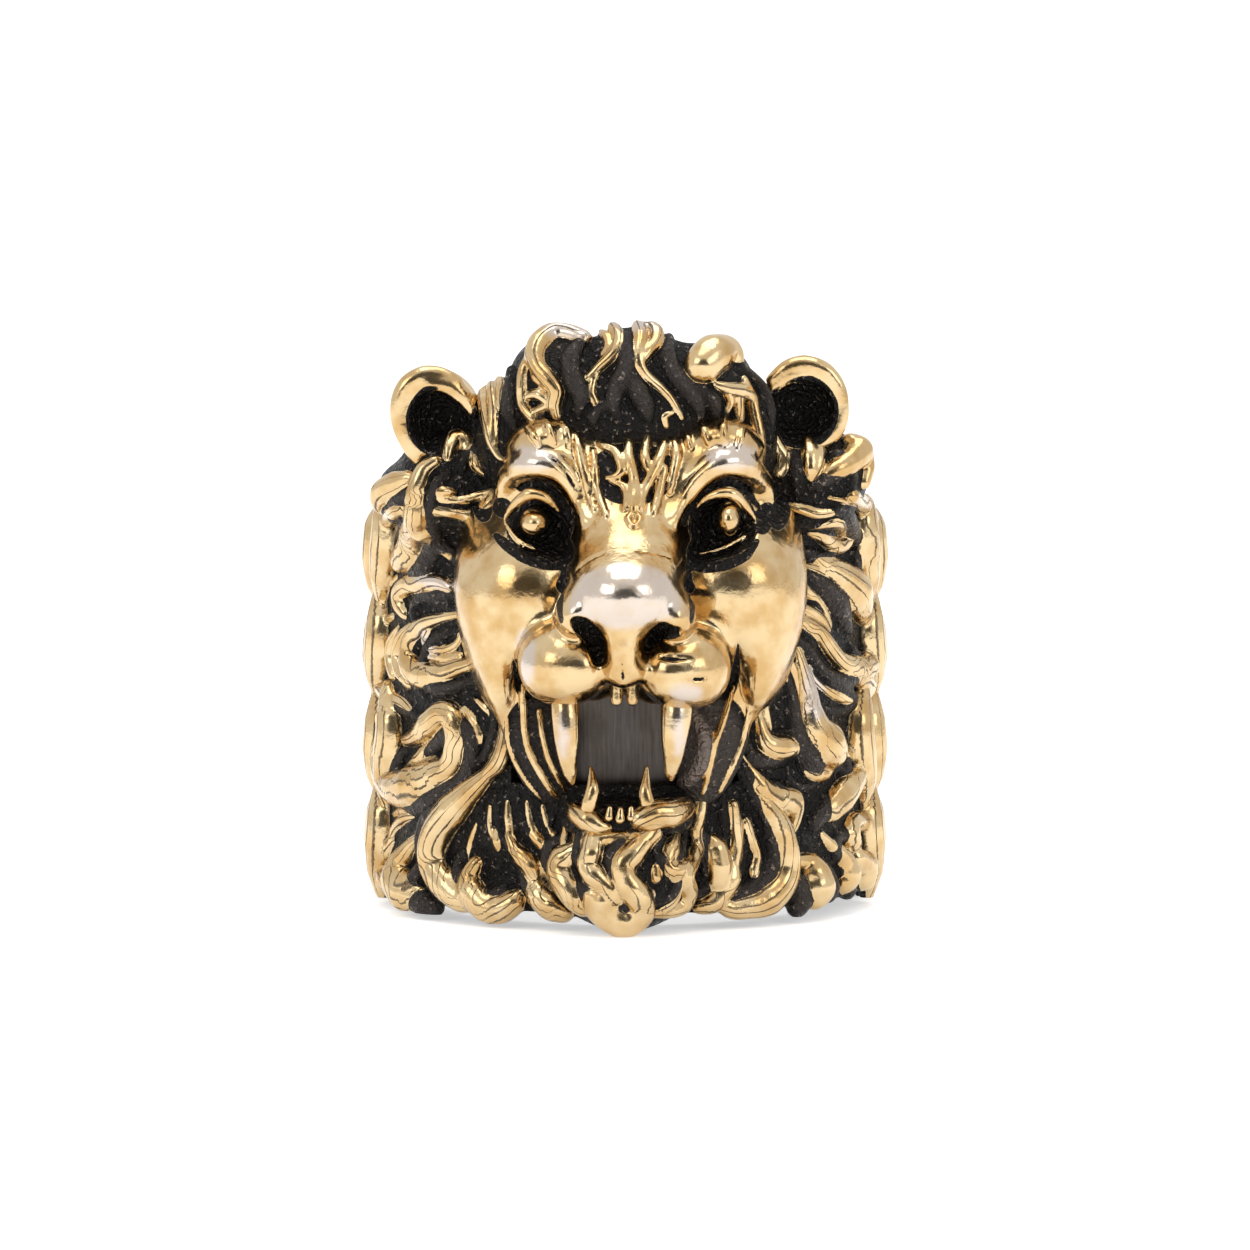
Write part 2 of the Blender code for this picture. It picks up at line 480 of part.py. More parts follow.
def cut(obj, cutter):
    """Takes a cutter's shape out of an object."""
    boolean = obj.modifiers.new("cut", "BOOLEAN")
    boolean.operation = "DIFFERENCE"
    boolean.solver = "EXACT"
    boolean.object = cutter
    apply_all(obj)


def as_cutter(obj):
    """Keeps an object out of the finished ring."""
    obj.hide_render = True
    obj.display_type = "WIRE"
    return obj


def main_body(bm):
    """Deletes the crumbs that a cut leaves beside the largest body."""
    left = set(bm.verts)
    bodies = []
    while left:
        body, edge = set(), [left.pop()]
        while edge:
            vert = edge.pop()
            body.add(vert)
            for link_edge in vert.link_edges:
                other = link_edge.other_vert(vert)
                if other in left:
                    left.remove(other)
                    edge.append(other)
        bodies.append(body)
    largest = max(bodies, key=len)
    crumbs = [vert for body in bodies if body is not largest for vert in body]
    bmesh.ops.delete(bm, geom=crumbs, context="VERTS")


def finished(obj, material, frame):
    """Turns a work object into a piece of the ring: in metres, on the ring's frame, shaded and coloured."""
    bm = bmesh.new()
    bm.from_mesh(obj.data)
    main_body(bm)
    bmesh.ops.triangulate(bm, faces=bm.faces)
    bmesh.ops.scale(bm, vec=(MM, MM, MM), verts=bm.verts)
    bm.to_mesh(obj.data)
    bm.free()
    obj.data.shade_smooth()
    obj.data.set_sharp_from_angle(angle=CREASE_ANGLE)
    obj.data.materials.clear()
    obj.data.materials.append(material)
    obj.parent = frame
    return obj


def material_of(name, finish):
    """A metal of this finish."""
    material = bpy.data.materials.new(name)
    material.use_nodes = True
    shader = material.node_tree.nodes["Principled BSDF"]
    shader.inputs["Base Color"].default_value = (*finish.colour, 1.0)
    shader.inputs["Metallic"].default_value = 1.0
    shader.inputs["Roughness"].default_value = finish.roughness
    return material


def round_cutter(name, radius, low, high):
    """An upright cylinder on the ring's axis."""
    bm = bmesh.new()
    place = Matrix.Translation((0.0, 0.0, (low + high) / 2))
    bmesh.ops.create_cone(bm, cap_ends=True, segments=CUTTER_AROUND, radius1=radius, radius2=radius,
                          depth=high - low, matrix=place)
    return as_cutter(work_object(name, bm))


def casting(name, forms=(), paths=(), panels=(), grow=0.0):
    """Fuses a casting from its forms, strokes and stretches of wall, all grown by the same margin."""
    bm = bmesh.new()
    for form in forms:
        add_form(bm, form, grow)
    if paths:
        add_strokes(bm, paths, grow)
    for start, stop, high in panels:
        add_panel(bm, start, stop, high, grow=grow)
    obj = work_object(name, bm)
    fuse(obj, TRIANGLES[name.removesuffix("_room")])
    return obj


def casting_and_room(name, **shape):
    """A casting, and the cutter that leaves a seam's width round it."""
    return casting(name, **shape), as_cutter(casting(name + "_room", grow=SEAM, **shape))


def plain(name, forms=(), paths=(), grow=0.0):
    """Forms and strokes just as they are, for small pieces and for cutters."""
    bm = bmesh.new()
    for form in forms:
        add_form(bm, form, grow, around=SMALL_AROUND)
    if paths:
        add_strokes(bm, paths, grow)
        bmesh.ops.remove_doubles(bm, verts=bm.verts, dist=WELD_GAP)
    return work_object(name, bm)


def sleeve():
    """The plain finger sleeve, with softened rims."""
    bm = bmesh.new()
    add_panel(bm, 0.0, 360.0, None, inner=BORE_RADIUS, outer=SLEEVE_RADIUS)
    obj = work_object("finger_sleeve", bm)
    rims = obj.modifiers.new("rims", "BEVEL")
    rims.width = RIM_SOFTENING
    rims.segments = 1
    rims.angle_limit = RIM_ANGLE
    apply_all(obj)
    return obj


def small_pieces():
    """Eye beads, fangs and rows of incisors, and the cutters of the sockets they sit in."""
    pieces, sockets = {}, {}
    for name, form in EYES.items():
        pieces[name] = plain(name, forms=[form])
        sockets[name] = as_cutter(plain(name + "_socket", forms=[form], grow=SEAM))
    for name, stroke in {**FANGS, **INCISORS}.items():
        path = front_stroke(stroke)
        pieces[name] = plain(name, paths=[path])
        sockets[name] = as_cutter(plain(name + "_socket", paths=[path], grow=SEAM))
    return pieces, sockets


def large_pieces():
    """The face, jaw, hair and ears before they are fitted together, and cutters that make room for them."""
    drawn = {name: [front_stroke(stroke) for stroke in strokes] for name, strokes in DRAWN_STROKES.items()}
    shapes = {
        "lion_mask": {"forms": MASK_FORMS, "paths": drawn["lion_mask"]},
        "lower_jaw": {"forms": JAW_FORMS},
        "crown": {"paths": drawn["crown"]},
        "beard": {"paths": drawn["beard"], "panels": [(-BEARD_EDGE, BEARD_EDGE, BEARD_TOP)]},
        "mane_left": {"paths": drawn["mane_left"] + band_strokes(BAND_START, SIDE_EDGE, -1),
                      "panels": [(-SIDE_EDGE, -FACE_EDGE, None)]},
        "mane_right": {"paths": drawn["mane_right"] + band_strokes(BAND_START, SIDE_EDGE, 1),
                       "panels": [(FACE_EDGE, SIDE_EDGE, None)]},
        "mane_back": {"paths": band_strokes(SIDE_EDGE, 180.0, 1) + band_strokes(SIDE_EDGE, 180.0, -1),
                      "panels": [(SIDE_EDGE, 360.0 - SIDE_EDGE, None)]},
    }
    for name, masses in HAIR_MASSES.items():
        shapes[name]["forms"] = masses
    for name, (body, _, rim) in EARS.items():
        shapes[name] = {"forms": [body], "paths": [ear_stroke(rim)]}
    pieces, rooms = {}, {}
    for name, shape in shapes.items():
        pieces[name], rooms[name] = casting_and_room(name, **shape)
    return pieces, rooms


def main():
    """Clears the scene and builds the ring."""
    for obj in list(bpy.data.objects):
        bpy.data.objects.remove(obj)
    frame = link(bpy.data.objects.new("ring_frame", None))
    frame.location = (0.0, AXIS_FROM_MIDDLE * MM, 0.0)
    pieces, sockets = small_pieces()
    castings, rooms = large_pieces()
    pieces["finger_sleeve"] = sleeve()
    cutters = {**sockets, **rooms}
    cutters["seat"] = round_cutter("seat", SEAT_RADIUS, -BEYOND_RING, BEYOND_RING)
    cutters["table"] = round_cutter("table", BEYOND_RING, -BEYOND_RING, 0.0)
    for i, hollow in enumerate(EYE_HOLLOWS):
        cutters[f"eye_hollow_{i}"] = as_cutter(plain(f"eye_hollow_{i}", forms=[hollow]))
    cutters["mouth"] = as_cutter(plain("mouth", forms=[MOUTH_HOLLOW]))
    for i, nostril in enumerate(NOSTRILS):
        cutters[f"nostril_{i}"] = as_cutter(plain(f"nostril_{i}", paths=[front_stroke(nostril)]))
    for name, (_, cup, _) in EARS.items():
        cutters[name + "_cup"] = as_cutter(plain(name + "_cup", forms=[cup]))
    for name, taken_out in FITTING.items():
        for cutter in ("seat", *taken_out):
            cut(castings[name], cutters[cutter])
    pieces.update(castings)
    gilt = material_of("gilt_brass", GILT)
    oxide = material_of("oxidised_brass", OXIDE)
    for name, obj in pieces.items():
        finished(obj, oxide if name in DARK_PIECES else gilt, frame)


main()
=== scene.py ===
"""Looks of the lion-head ring: each casting in fine relief, gilded, and blackened in its hollows.

Each casting is modelled like clay. Ellipsoids are blended into a ground form, locks and wrinkles are laid on
it as tapering strands, and hollows are carved out. Sizes are in millimetres in the ring's own frame: the axis
of the finger is x = y = 0, the lion looks along -Y, and the table is z = 0. Places on the front are (across,
height), as the front view shows them.
"""

import logging
import math
from dataclasses import dataclass, field
from enum import Enum
from functools import partial

import bpy
import numpy as np
import openvdb
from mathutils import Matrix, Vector


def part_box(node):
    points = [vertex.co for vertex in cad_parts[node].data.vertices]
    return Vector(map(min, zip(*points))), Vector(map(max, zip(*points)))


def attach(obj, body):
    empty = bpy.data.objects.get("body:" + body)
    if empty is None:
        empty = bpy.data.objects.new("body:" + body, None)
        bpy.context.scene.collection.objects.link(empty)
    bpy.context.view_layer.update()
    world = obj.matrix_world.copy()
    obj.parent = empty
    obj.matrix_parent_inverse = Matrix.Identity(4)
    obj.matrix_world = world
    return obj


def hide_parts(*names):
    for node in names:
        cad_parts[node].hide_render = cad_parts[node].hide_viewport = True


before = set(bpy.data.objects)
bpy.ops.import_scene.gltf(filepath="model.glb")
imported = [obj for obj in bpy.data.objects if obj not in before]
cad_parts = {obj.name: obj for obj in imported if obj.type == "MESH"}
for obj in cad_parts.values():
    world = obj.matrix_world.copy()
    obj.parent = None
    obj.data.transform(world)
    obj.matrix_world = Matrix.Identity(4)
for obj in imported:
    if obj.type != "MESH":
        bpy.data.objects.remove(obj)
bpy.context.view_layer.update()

LOG = logging.getLogger("lion_ring")
MM = 0.001
Array = np.ndarray
Span = tuple[float, float]
Corner = tuple[float, float, float]
Stroke = tuple[tuple[float, ...], ...]
Strand = list[tuple[Array, float]]

# Driving dimensions, as in the CAD
BORE_RADIUS = 9.3
SLEEVE_RADIUS = 10.8
SEAT_RADIUS = 11.05
GROUND_RADIUS = 12.2
LOWER_EDGE = 0.9
FOOT_DIP = 1.8
SLEEVE_TOP_MIDDLE = 20.2
SLEEVE_TOP_SLOPE = 0.28
SIDE_EDGE = 92.0
FACE_EDGE = 28.0
BEARD_EDGE = 51.0
BEARD_TOP = 7.4
BEARD_DEPTH = -13.0

# Rise of the photograph's view above the horizontal, and the height at its middle
VIEW_RISE = math.radians(6.0)
VIEW_MIDDLE = 15.55

# How far from a shape its distances are kept true, and the rounding of what is cut at the seat
REACH = 2.0
SEAT_ROUNDING = 0.5
# Nearest and farthest depth of a line of sight, and its steps
SIGHT = (-20.5, 4.0, 0.05)
# How near to the ground a line of sight meets it, and the least that a strand stands out of it
GRAZE = 0.25
LEAST_RISE = 0.12
# The least length that anything is divided by, and how far from a grid's last place it may be read, in places
TINY = 1e-6
GRID_EDGE = 1.001
# A loose body of a skin with fewer corners than this is a crumb
CRUMB = 100
# How far locks stand out of the ground as a share of their half widths, gilded ones and black ones
LOCK_LIFT = 0.12
BLACK_LIFT = -0.05
# Spacing of the lines engraved along the locks, how they are shifted from lock to lock, and the least length
# of a lock that has them, in half widths
COMB_SPACING = 0.5
COMB_SHIFTS = (0.0, 0.25, -0.2)
COMB_LEAST = 5.0


class Side(Enum):
    """A side of the face, as the viewer sees it."""

    LEFT = -1
    RIGHT = 1


class Slot(Enum):
    """The library's names for the ring's materials."""

    GILT = "gilt_brass"
    OXIDISED = "oxidised_brass"


class Mark(Enum):
    """What is marked on the castings' meshes for their finish."""

    GILT = "gilt"
    HOLLOW = "hollow"
    WORN = "worn"
    FOLD = "fold"
    COMB = "comb"


@dataclass(frozen=True)
class Form:
    """An ellipsoid: place (across, height, depth), radii (wide, tall, deep), front-view tilt in degrees."""

    place: Corner
    radii: Corner
    tilt: float = 0.0


def seen(across: float, height: float, depth: float) -> Array:
    """The point that the front view shows at (across, height), at this depth.

    Args:
        across: Millimetres to the right of the ring's axis.
        height: Millimetres above the tip of the beard, as the front view shows them.
        depth: Millimetres along +Y from the axis of the finger.

    Returns:
        The point in the ring's frame.
    """
    return np.array([across, depth, height - (depth - BEARD_DEPTH) * math.tan(VIEW_RISE)])


def ellipsoid_distance(x: Array, y: Array, z: Array, form: Form) -> Array:
    """Distances of points from a form's surface.

    Args:
        x: Coordinates along X.
        y: Coordinates along Y.
        z: Coordinates along Z.
        form: The ellipsoid.

    Returns:
        Millimetres, negative inside.
    """
    centre = seen(*form.place)
    wide, tall, deep = form.radii
    cos, sin = math.cos(math.radians(form.tilt)), math.sin(math.radians(form.tilt))
    dx, dy, dz = x - centre[0], y - centre[1], z - centre[2]
    across, up = cos * dx - sin * dz, sin * dx + cos * dz
    size = np.sqrt((across / wide) ** 2 + (dy / deep) ** 2 + (up / tall) ** 2)
    slope = np.sqrt((across / wide ** 2) ** 2 + (dy / deep ** 2) ** 2 + (up / tall ** 2) ** 2)
    return size * (size - 1.0) / np.maximum(slope, TINY)


def cone_distance(x: Array, y: Array, z: Array, start: Array, stop: Array, radii: Span) -> Array:
    """Distances of points from a round-ended cone.

    Args:
        x: Coordinates along X.
        y: Coordinates along Y.
        z: Coordinates along Z.
        start: Middle of its first end.
        stop: Middle of its last end.
        radii: Radius at each end.

    Returns:
        Millimetres, negative inside.
    """
    along = stop - start
    dx, dy, dz = x - start[0], y - start[1], z - start[2]
    t = np.clip((dx * along[0] + dy * along[1] + dz * along[2]) / max(float(along @ along), TINY), 0.0, 1.0)
    gap = np.sqrt((dx - t * along[0]) ** 2 + (dy - t * along[1]) ** 2 + (dz - t * along[2]) ** 2)
    return gap - (radii[0] + t * (radii[1] - radii[0]))


def strand_distance(points: Array, strand: Strand) -> Array:
    """Distances of points from a strand.

    Args:
        points: One point in each row.
        strand: Places and half widths along the strand.

    Returns:
        Millimetres, negative inside.
    """
    distance = np.full(len(points), REACH)
    for (start, wide), (stop, narrow) in zip(strand, strand[1:]):
        distance = np.minimum(distance, cone_distance(*points.T, start, stop, (wide, narrow)))
    return distance


def smooth_min(a: Array, b: Array, blend: float) -> Array:
    """The lesser of two distances, with the crease between them filled.

    Args:
        a: Distances from one shape.
        b: Distances from the other.
        blend: Width over which the crease is filled.

    Returns:
        Distances from both shapes blended together.
    """
    overlap = np.maximum(blend - np.abs(a - b), 0.0) / blend
    return np.minimum(a, b) - overlap * overlap * blend / 4


def smooth_step(low: float, high: float, value: Array) -> Array:
    """A smooth rise from 0 to 1.

    Args:
        low: Where the rise starts.
        high: Where it ends.
        value: Places on the rise.

    Returns:
        0 below low, 1 above high and smooth between.
    """
    t = np.clip((value - low) / (high - low), 0.0, 1.0)
    return t * t * (3 - 2 * t)


def sleeve_top(angle: Array | float, radius: Array | float) -> Array:
    """Height of the ring's slanting upper edge at an angle in degrees from the face."""
    return SLEEVE_TOP_MIDDLE + SLEEVE_TOP_SLOPE * radius * np.cos(np.radians(angle))


def lower_edge(angle: Array | float) -> Array:
    """Height of the mane's lower edge, which dips to the table behind."""
    behind = np.maximum(0.0, 180.0 - np.abs(angle % 360.0 - 180.0) - SIDE_EDGE) / (180.0 - SIDE_EDGE)
    return LOWER_EDGE - FOOT_DIP * behind


def curve_through(points: list[Array], radii: list[float], steps: int = 5) -> Strand:
    """The smooth curve through the points of a stroke.

    Args:
        points: Places on the curve.
        radii: Half widths there.
        steps: Pieces between two points.

    Returns:
        Places and half widths along the curve.
    """
    ends = [points[0], *points, points[-1]]
    strand = []
    for i in range(len(points) - 1):
        before, start, stop, after = ends[i:i + 4]
        bend = 2 * before - 5 * start + 4 * stop - after
        twist = 3 * start - before - 3 * stop + after
        for step in range(steps):
            t = step / steps
            place = 0.5 * (2 * start + (stop - before) * t + bend * t ** 2 + twist * t ** 3)
            strand.append((place, radii[i] + (radii[i + 1] - radii[i]) * t))
    strand.append((points[-1], radii[-1]))
    return strand


def strand_in_depth(stroke: Stroke) -> Strand:
    """The strand of a stroke whose points are (across, height, half width, depth)."""
    return curve_through([seen(x, h, depth) for x, h, _, depth in stroke], [point[2] for point in stroke])


class Clay:
    """A casting as signed distances in millimetres on a grid, negative inside."""

    def __init__(self, low: Corner, high: Corner, voxel: float) -> None:
        """Starts with an empty block.

        Args:
            low: Lowest corner of the block.
            high: Highest corner of the block.
            voxel: Spacing of the grid.
        """
        self.low = np.array(low)
        self.voxel = voxel
        counts = np.ceil((np.array(high) - self.low) / voxel).astype(int) + 1
        self.axes = [(low[i] + voxel * np.arange(counts[i])).astype(np.float32) for i in range(3)]
        self.field = np.full(counts, REACH, np.float32)
        self.ground = self.field

    def whole(self) -> list[Array]:
        """The coordinates of the whole grid, ready to be combined."""
        return [self.axes[0][:, None, None], self.axes[1][None, :, None], self.axes[2][None, None, :]]

    def block(self, low: Array, high: Array) -> tuple[tuple[slice, ...], list[Array]]:
        """A part of the grid.

        Args:
            low: Lowest corner of the part.
            high: Highest corner of the part.

        Returns:
            Its slices of the grid, and its coordinates.
        """
        first = np.floor((low - self.low) / self.voxel).astype(int)
        last = np.ceil((high - self.low) / self.voxel).astype(int) + 1
        parts = tuple(slice(int(np.clip(first[i], 0, n)), int(np.clip(last[i], 0, n)))
                      for i, n in enumerate(self.field.shape))
        x, y, z = (self.axes[i][parts[i]] for i in range(3))
        return parts, [x[:, None, None], y[None, :, None], z[None, None, :]]

    def form_block(self, form: Form) -> tuple[tuple[slice, ...], Array]:
        """Distances from a form, in the part of the grid around it.

        Args:
            form: The ellipsoid.

        Returns:
            The slices of the grid, and the distances there.
        """
        reach = max(form.radii) + REACH
        centre = seen(*form.place)
        parts, grid = self.block(centre - reach, centre + reach)
        return parts, ellipsoid_distance(*grid, form)

    def add(self, form: Form, blend: float = 0.5) -> None:
        """Blends a form into the clay."""
        parts, distance = self.form_block(form)
        self.field[parts] = smooth_min(self.field[parts], distance, blend)

    def carve(self, form: Form, blend: float = 0.3) -> None:
        """Takes a form out of the clay, with a softened edge."""
        parts, distance = self.form_block(form)
        self.field[parts] = -smooth_min(-self.field[parts], distance, blend)

    def strand_block(self, strand: Strand) -> tuple[tuple[slice, ...], Array]:
        """Distances from a tapering strand, in the part of the grid around it.

        Args:
            strand: Places and half widths along the strand.

        Returns:
            The slices of the grid, and the distances there.
        """
        places = np.array([place for place, _ in strand])
        reach = max(radius for _, radius in strand) + REACH
        whole, _ = self.block(places.min(0) - reach, places.max(0) + reach)
        result = np.full(self.field[whole].shape, REACH, np.float32)
        for (start, wide), (stop, narrow) in zip(strand, strand[1:]):
            reach = max(wide, narrow) + REACH / 2
            parts, grid = self.block(np.minimum(start, stop) - reach, np.maximum(start, stop) + reach)
            inner = tuple(slice(p.start - w.start, p.stop - w.start) for p, w in zip(parts, whole))
            result[inner] = np.minimum(result[inner], cone_distance(*grid, start, stop, (wide, narrow)))
        return whole, result

    def add_strand(self, strand: Strand, blend: float = 0.12) -> None:
        """Blends a strand into the clay."""
        parts, distance = self.strand_block(strand)
        self.field[parts] = smooth_min(self.field[parts], distance, blend)

    def carve_strand(self, strand: Strand, blend: float = 0.1) -> None:
        """Takes a strand out of the clay."""
        parts, distance = self.strand_block(strand)
        self.field[parts] = -smooth_min(-self.field[parts], distance, blend)

    def add_panel(self, start: float, stop: float, level_top: float | None = None) -> None:
        """Adds a stretch of the band's wall.

        Args:
            start: First angle from the face, in degrees.
            stop: Last angle from the face.
            level_top: Height of a level upper edge, in place of the slanting one.
        """
        x, y, z = self.whole()
        radius = np.sqrt(x * x + y * y)
        angle = (np.degrees(np.arctan2(x, -y)) - start) % 360.0 + start
        top = sleeve_top(angle, radius) if level_top is None else level_top
        middle = (start + stop) / 2
        turned = np.abs((angle - middle + 180.0) % 360.0 - 180.0) - (stop - start) / 2
        wall = np.maximum(radius - GROUND_RADIUS, SEAT_RADIUS - radius)
        ends = np.maximum(wall, np.radians(turned) * radius)
        heights = np.maximum(z - top, lower_edge(angle) - z)
        self.field = np.minimum(self.field, np.maximum(ends, heights)).astype(np.float32)

    def bore(self) -> None:
        """Clears the seat of the finger sleeve with rounded edges, and everything under the table."""
        x, y, z = self.whole()
        seat = np.sqrt(x * x + y * y) - SEAT_RADIUS
        self.field = np.maximum(-smooth_min(-self.field, seat, SEAT_ROUNDING), -z).astype(np.float32)

    def keep_ground(self, wall: bool = False) -> None:
        """Remembers the form so far as the ground that strands lie on.

        Args:
            wall: Whether the ground goes on as the whole wall of the band.
        """
        self.ground = self.field.copy()
        if wall:
            x, y, _ = self.whole()
            self.ground = np.minimum(self.ground, np.sqrt(x * x + y * y) - GROUND_RADIUS)

    def sample(self, points: Array, values: Array | None = None) -> Array:
        """Reads a grid between its places.

        Args:
            points: One point in each row.
            values: The grid, or none for the clay itself.

        Returns:
            A value for each point.
        """
        values = self.field if values is None else values
        place = np.clip((points - self.low) / self.voxel, 0, np.array(values.shape) - GRID_EDGE)
        cell = place.astype(int)
        share = place - cell
        total = np.zeros(len(points))
        for corner in np.ndindex(2, 2, 2):
            weight = np.prod([share[:, i] if c else 1 - share[:, i] for i, c in enumerate(corner)], axis=0)
            total += weight * values[cell[:, 0] + corner[0], cell[:, 1] + corner[1], cell[:, 2] + corner[2]]
        return total

    def outward(self, points: Array, step: float = 0.25) -> Array:
        """Unit normals of the ground.

        Args:
            points: One point in each row.
            step: How far on each side the ground is read.

        Returns:
            A normal in each row.
        """
        steps = np.eye(3) * step
        slopes = [self.sample(points + s, self.ground) - self.sample(points - s, self.ground) for s in steps]
        normal = np.stack(slopes, axis=1)
        return normal / np.maximum(np.linalg.norm(normal, axis=1, keepdims=True), TINY)

    def fall(self, across: float, height: float, radius: float, lift: float, graze: float) -> Array:
        """Where a strand's middle lies, when it is drawn in the front view and falls back onto the ground.

        Args:
            across: Place in the front view.
            height: Place in the front view.
            radius: Half width of the strand.
            lift: How far its middle stands above the ground, as a share of the half width.
            graze: How near to the ground the line of sight already meets it.

        Returns:
            The strand's middle. Beside the ground's outline it lies on the outline.
        """
        ray = np.stack([seen(across, height, depth) for depth in np.arange(*SIGHT)])
        values = self.sample(ray, self.ground)
        hits = np.nonzero(values < graze)[0]
        nearest = int(hits[0]) if len(hits) else int(values.argmin())
        place = ray[nearest]
        rise = max(lift * radius, LEAST_RISE - radius) if lift > 0 else lift * radius
        return place + self.outward(place[None])[0] * (rise - float(values[nearest]))

    def lay(self, stroke: Stroke, lift: float, graze: float = 0.0) -> Strand:
        """The strand of a stroke that is drawn in the front view, laid on the ground.

        Args:
            stroke: Points of (across, height, half width).
            lift: How far its middle stands above the ground, as a share of the half width.
            graze: How near to the ground a line of sight already meets it.

        Returns:
            Places and half widths along the strand.
        """
        places = [self.fall(x, h, radius, lift, graze) for x, h, radius in stroke]
        return curve_through(places, [radius for _, _, radius in stroke])

    def polygons(self) -> tuple[Array, Array]:
        """The clay's skin.

        Returns:
            Its corners in millimetres, and its four-sided faces.
        """
        closed = self.field.copy()
        for axis in range(3):
            edge = [slice(None)] * 3
            for side in (0, -1):
                edge[axis] = side
                closed[tuple(edge)] = REACH
        grid = openvdb.FloatGrid(background=REACH)
        grid.copyFromArray(closed)
        corners, quads = grid.convertToQuads(isovalue=0.0)
        return corners * self.voxel + self.low, quads[:, ::-1]


# Masses of hair that the locks lie on
CROWN_MASSES = (
    Form((0.1, 26.3, -9.3), (6.5, 4.6, 4.0)),
    Form((-6.0, 24.8, -8.9), (1.6, 3.0, 2.7)),
    Form((6.2, 24.8, -8.9), (1.6, 3.0, 2.7)),
    Form((-3.3, 28.3, -9.6), (2.3, 2.1, 3.1)),
    Form((4.3, 28.0, -9.6), (2.0, 1.8, 3.0)),
    Form((0.3, 28.8, -9.6), (2.4, 2.2, 3.3)),
)
CHIN_MASS = Form((0.0, 3.2, -12.3), (3.3, 3.1, 2.7))
LEFT_TEMPLES = (
    Form((-9.0, 22.7, -7.8), (2.6, 2.7, 2.8)),
    Form((-11.1, 22.2, -6.4), (1.4, 1.6, 2.4)),
)
RIGHT_TEMPLES = (
    Form((9.3, 22.9, -7.6), (2.6, 2.7, 2.8)),
    Form((10.9, 23.4, -6.6), (1.4, 1.7, 2.4)),
)

# Strokes are points of (across, height, half width)
CROWN_LOCKS: tuple[Stroke, ...] = (
    ((-2.1, 30.1, 0.3), (-2.8, 30.4, 0.35), (-3.6, 30.4, 0.38), (-4.3, 29.9, 0.4), (-4.6, 29.2, 0.35),
     (-4.4, 28.5, 0.28), (-3.9, 27.9, 0.28), (-3.5, 27.3, 0.28), (-3.6, 26.6, 0.25), (-3.5, 26.0, 0.15)),
    ((-4.9, 29.2, 0.15), (-5.2, 28.4, 0.2), (-5.3, 27.5, 0.22), (-5.2, 26.6, 0.22), (-4.7, 25.9, 0.2),
     (-4.4, 25.5, 0.1)),
    ((-4.7, 28.8, 0.1), (-4.6, 28.0, 0.15), (-4.0, 27.5, 0.12)),
    ((-5.0, 27.0, 0.12), (-4.4, 27.1, 0.2), (-3.9, 26.6, 0.16), (-4.5, 26.3, 0.12), (-4.9, 26.0, 0.1)),
    ((-0.9, 31.0, 0.25), (-0.5, 30.5, 0.22), (-0.3, 29.9, 0.22), (-0.6, 29.3, 0.22), (-1.2, 28.7, 0.2),
     (-1.7, 28.2, 0.14), (-2.1, 27.8, 0.06)),
    ((-1.4, 30.6, 0.12), (-1.0, 30.2, 0.15), (-0.9, 29.7, 0.14), (-1.2, 29.2, 0.1)),
    ((-1.3, 28.6, 0.1), (-1.6, 27.9, 0.12), (-1.7, 27.2, 0.14), (-1.5, 26.7, 0.12), (-1.6, 26.4, 0.06)),
    ((0.6, 30.9, 0.2), (0.8, 30.2, 0.25), (0.7, 29.4, 0.22), (0.75, 28.7, 0.2), (1.1, 28.1, 0.18),
     (1.7, 27.6, 0.14), (2.2, 27.1, 0.12), (2.6, 26.5, 0.1), (2.9, 25.9, 0.06)),
    ((1.2, 30.9, 0.25), (1.6, 30.4, 0.28), (1.6, 29.9, 0.25), (1.2, 29.4, 0.22), (0.9, 28.9, 0.15)),
    ((-0.9, 30.9, 0.2), (0.0, 31.0, 0.2), (1.0, 30.8, 0.2)),
    ((3.6, 28.4, 0.4), (3.9, 28.7, 0.66), (4.4, 29.2, 0.7), (5.1, 29.5, 0.5), (5.6, 29.2, 0.32),
     (5.85, 28.8, 0.12)),
    ((-7.6, 28.0, 0.2), (-7.4, 27.4, 0.25), (-7.2, 26.6, 0.22), (-7.0, 25.6, 0.2), (-6.8, 24.7, 0.16),
     (-6.4, 24.0, 0.1), (-6.0, 23.8, 0.05)),
    ((-7.0, 28.1, 0.2), (-6.8, 27.4, 0.22), (-6.7, 26.5, 0.2), (-6.7, 25.5, 0.16), (-6.6, 24.8, 0.1)),
    ((-6.4, 28.2, 0.2), (-6.3, 27.4, 0.22), (-6.3, 26.6, 0.12)),
    ((4.6, 27.6, 0.1), (5.2, 27.4, 0.2), (5.9, 27.3, 0.25), (6.4, 27.0, 0.25), (6.6, 26.2, 0.22),
     (6.8, 25.2, 0.22), (6.9, 24.3, 0.18), (6.9, 23.4, 0.1)),
    ((5.2, 27.1, 0.15), (5.4, 26.7, 0.15), (5.2, 26.2, 0.1), (5.1, 25.8, 0.1)),
    ((5.8, 27.0, 0.18), (5.8, 26.2, 0.2), (5.7, 25.5, 0.18), (5.5, 25.2, 0.1)),
    ((6.1, 27.9, 0.15), (6.3, 27.4, 0.2), (6.5, 26.8, 0.2)),
    ((2.1, 25.5, 0.08), (2.0, 26.0, 0.1), (2.4, 26.2, 0.06)),
    ((-4.7, 26.3, 0.06), (-4.5, 25.6, 0.15), (-4.2, 24.9, 0.15)),
    ((4.8, 25.9, 0.06), (4.9, 25.4, 0.15), (4.8, 24.8, 0.14)),
)

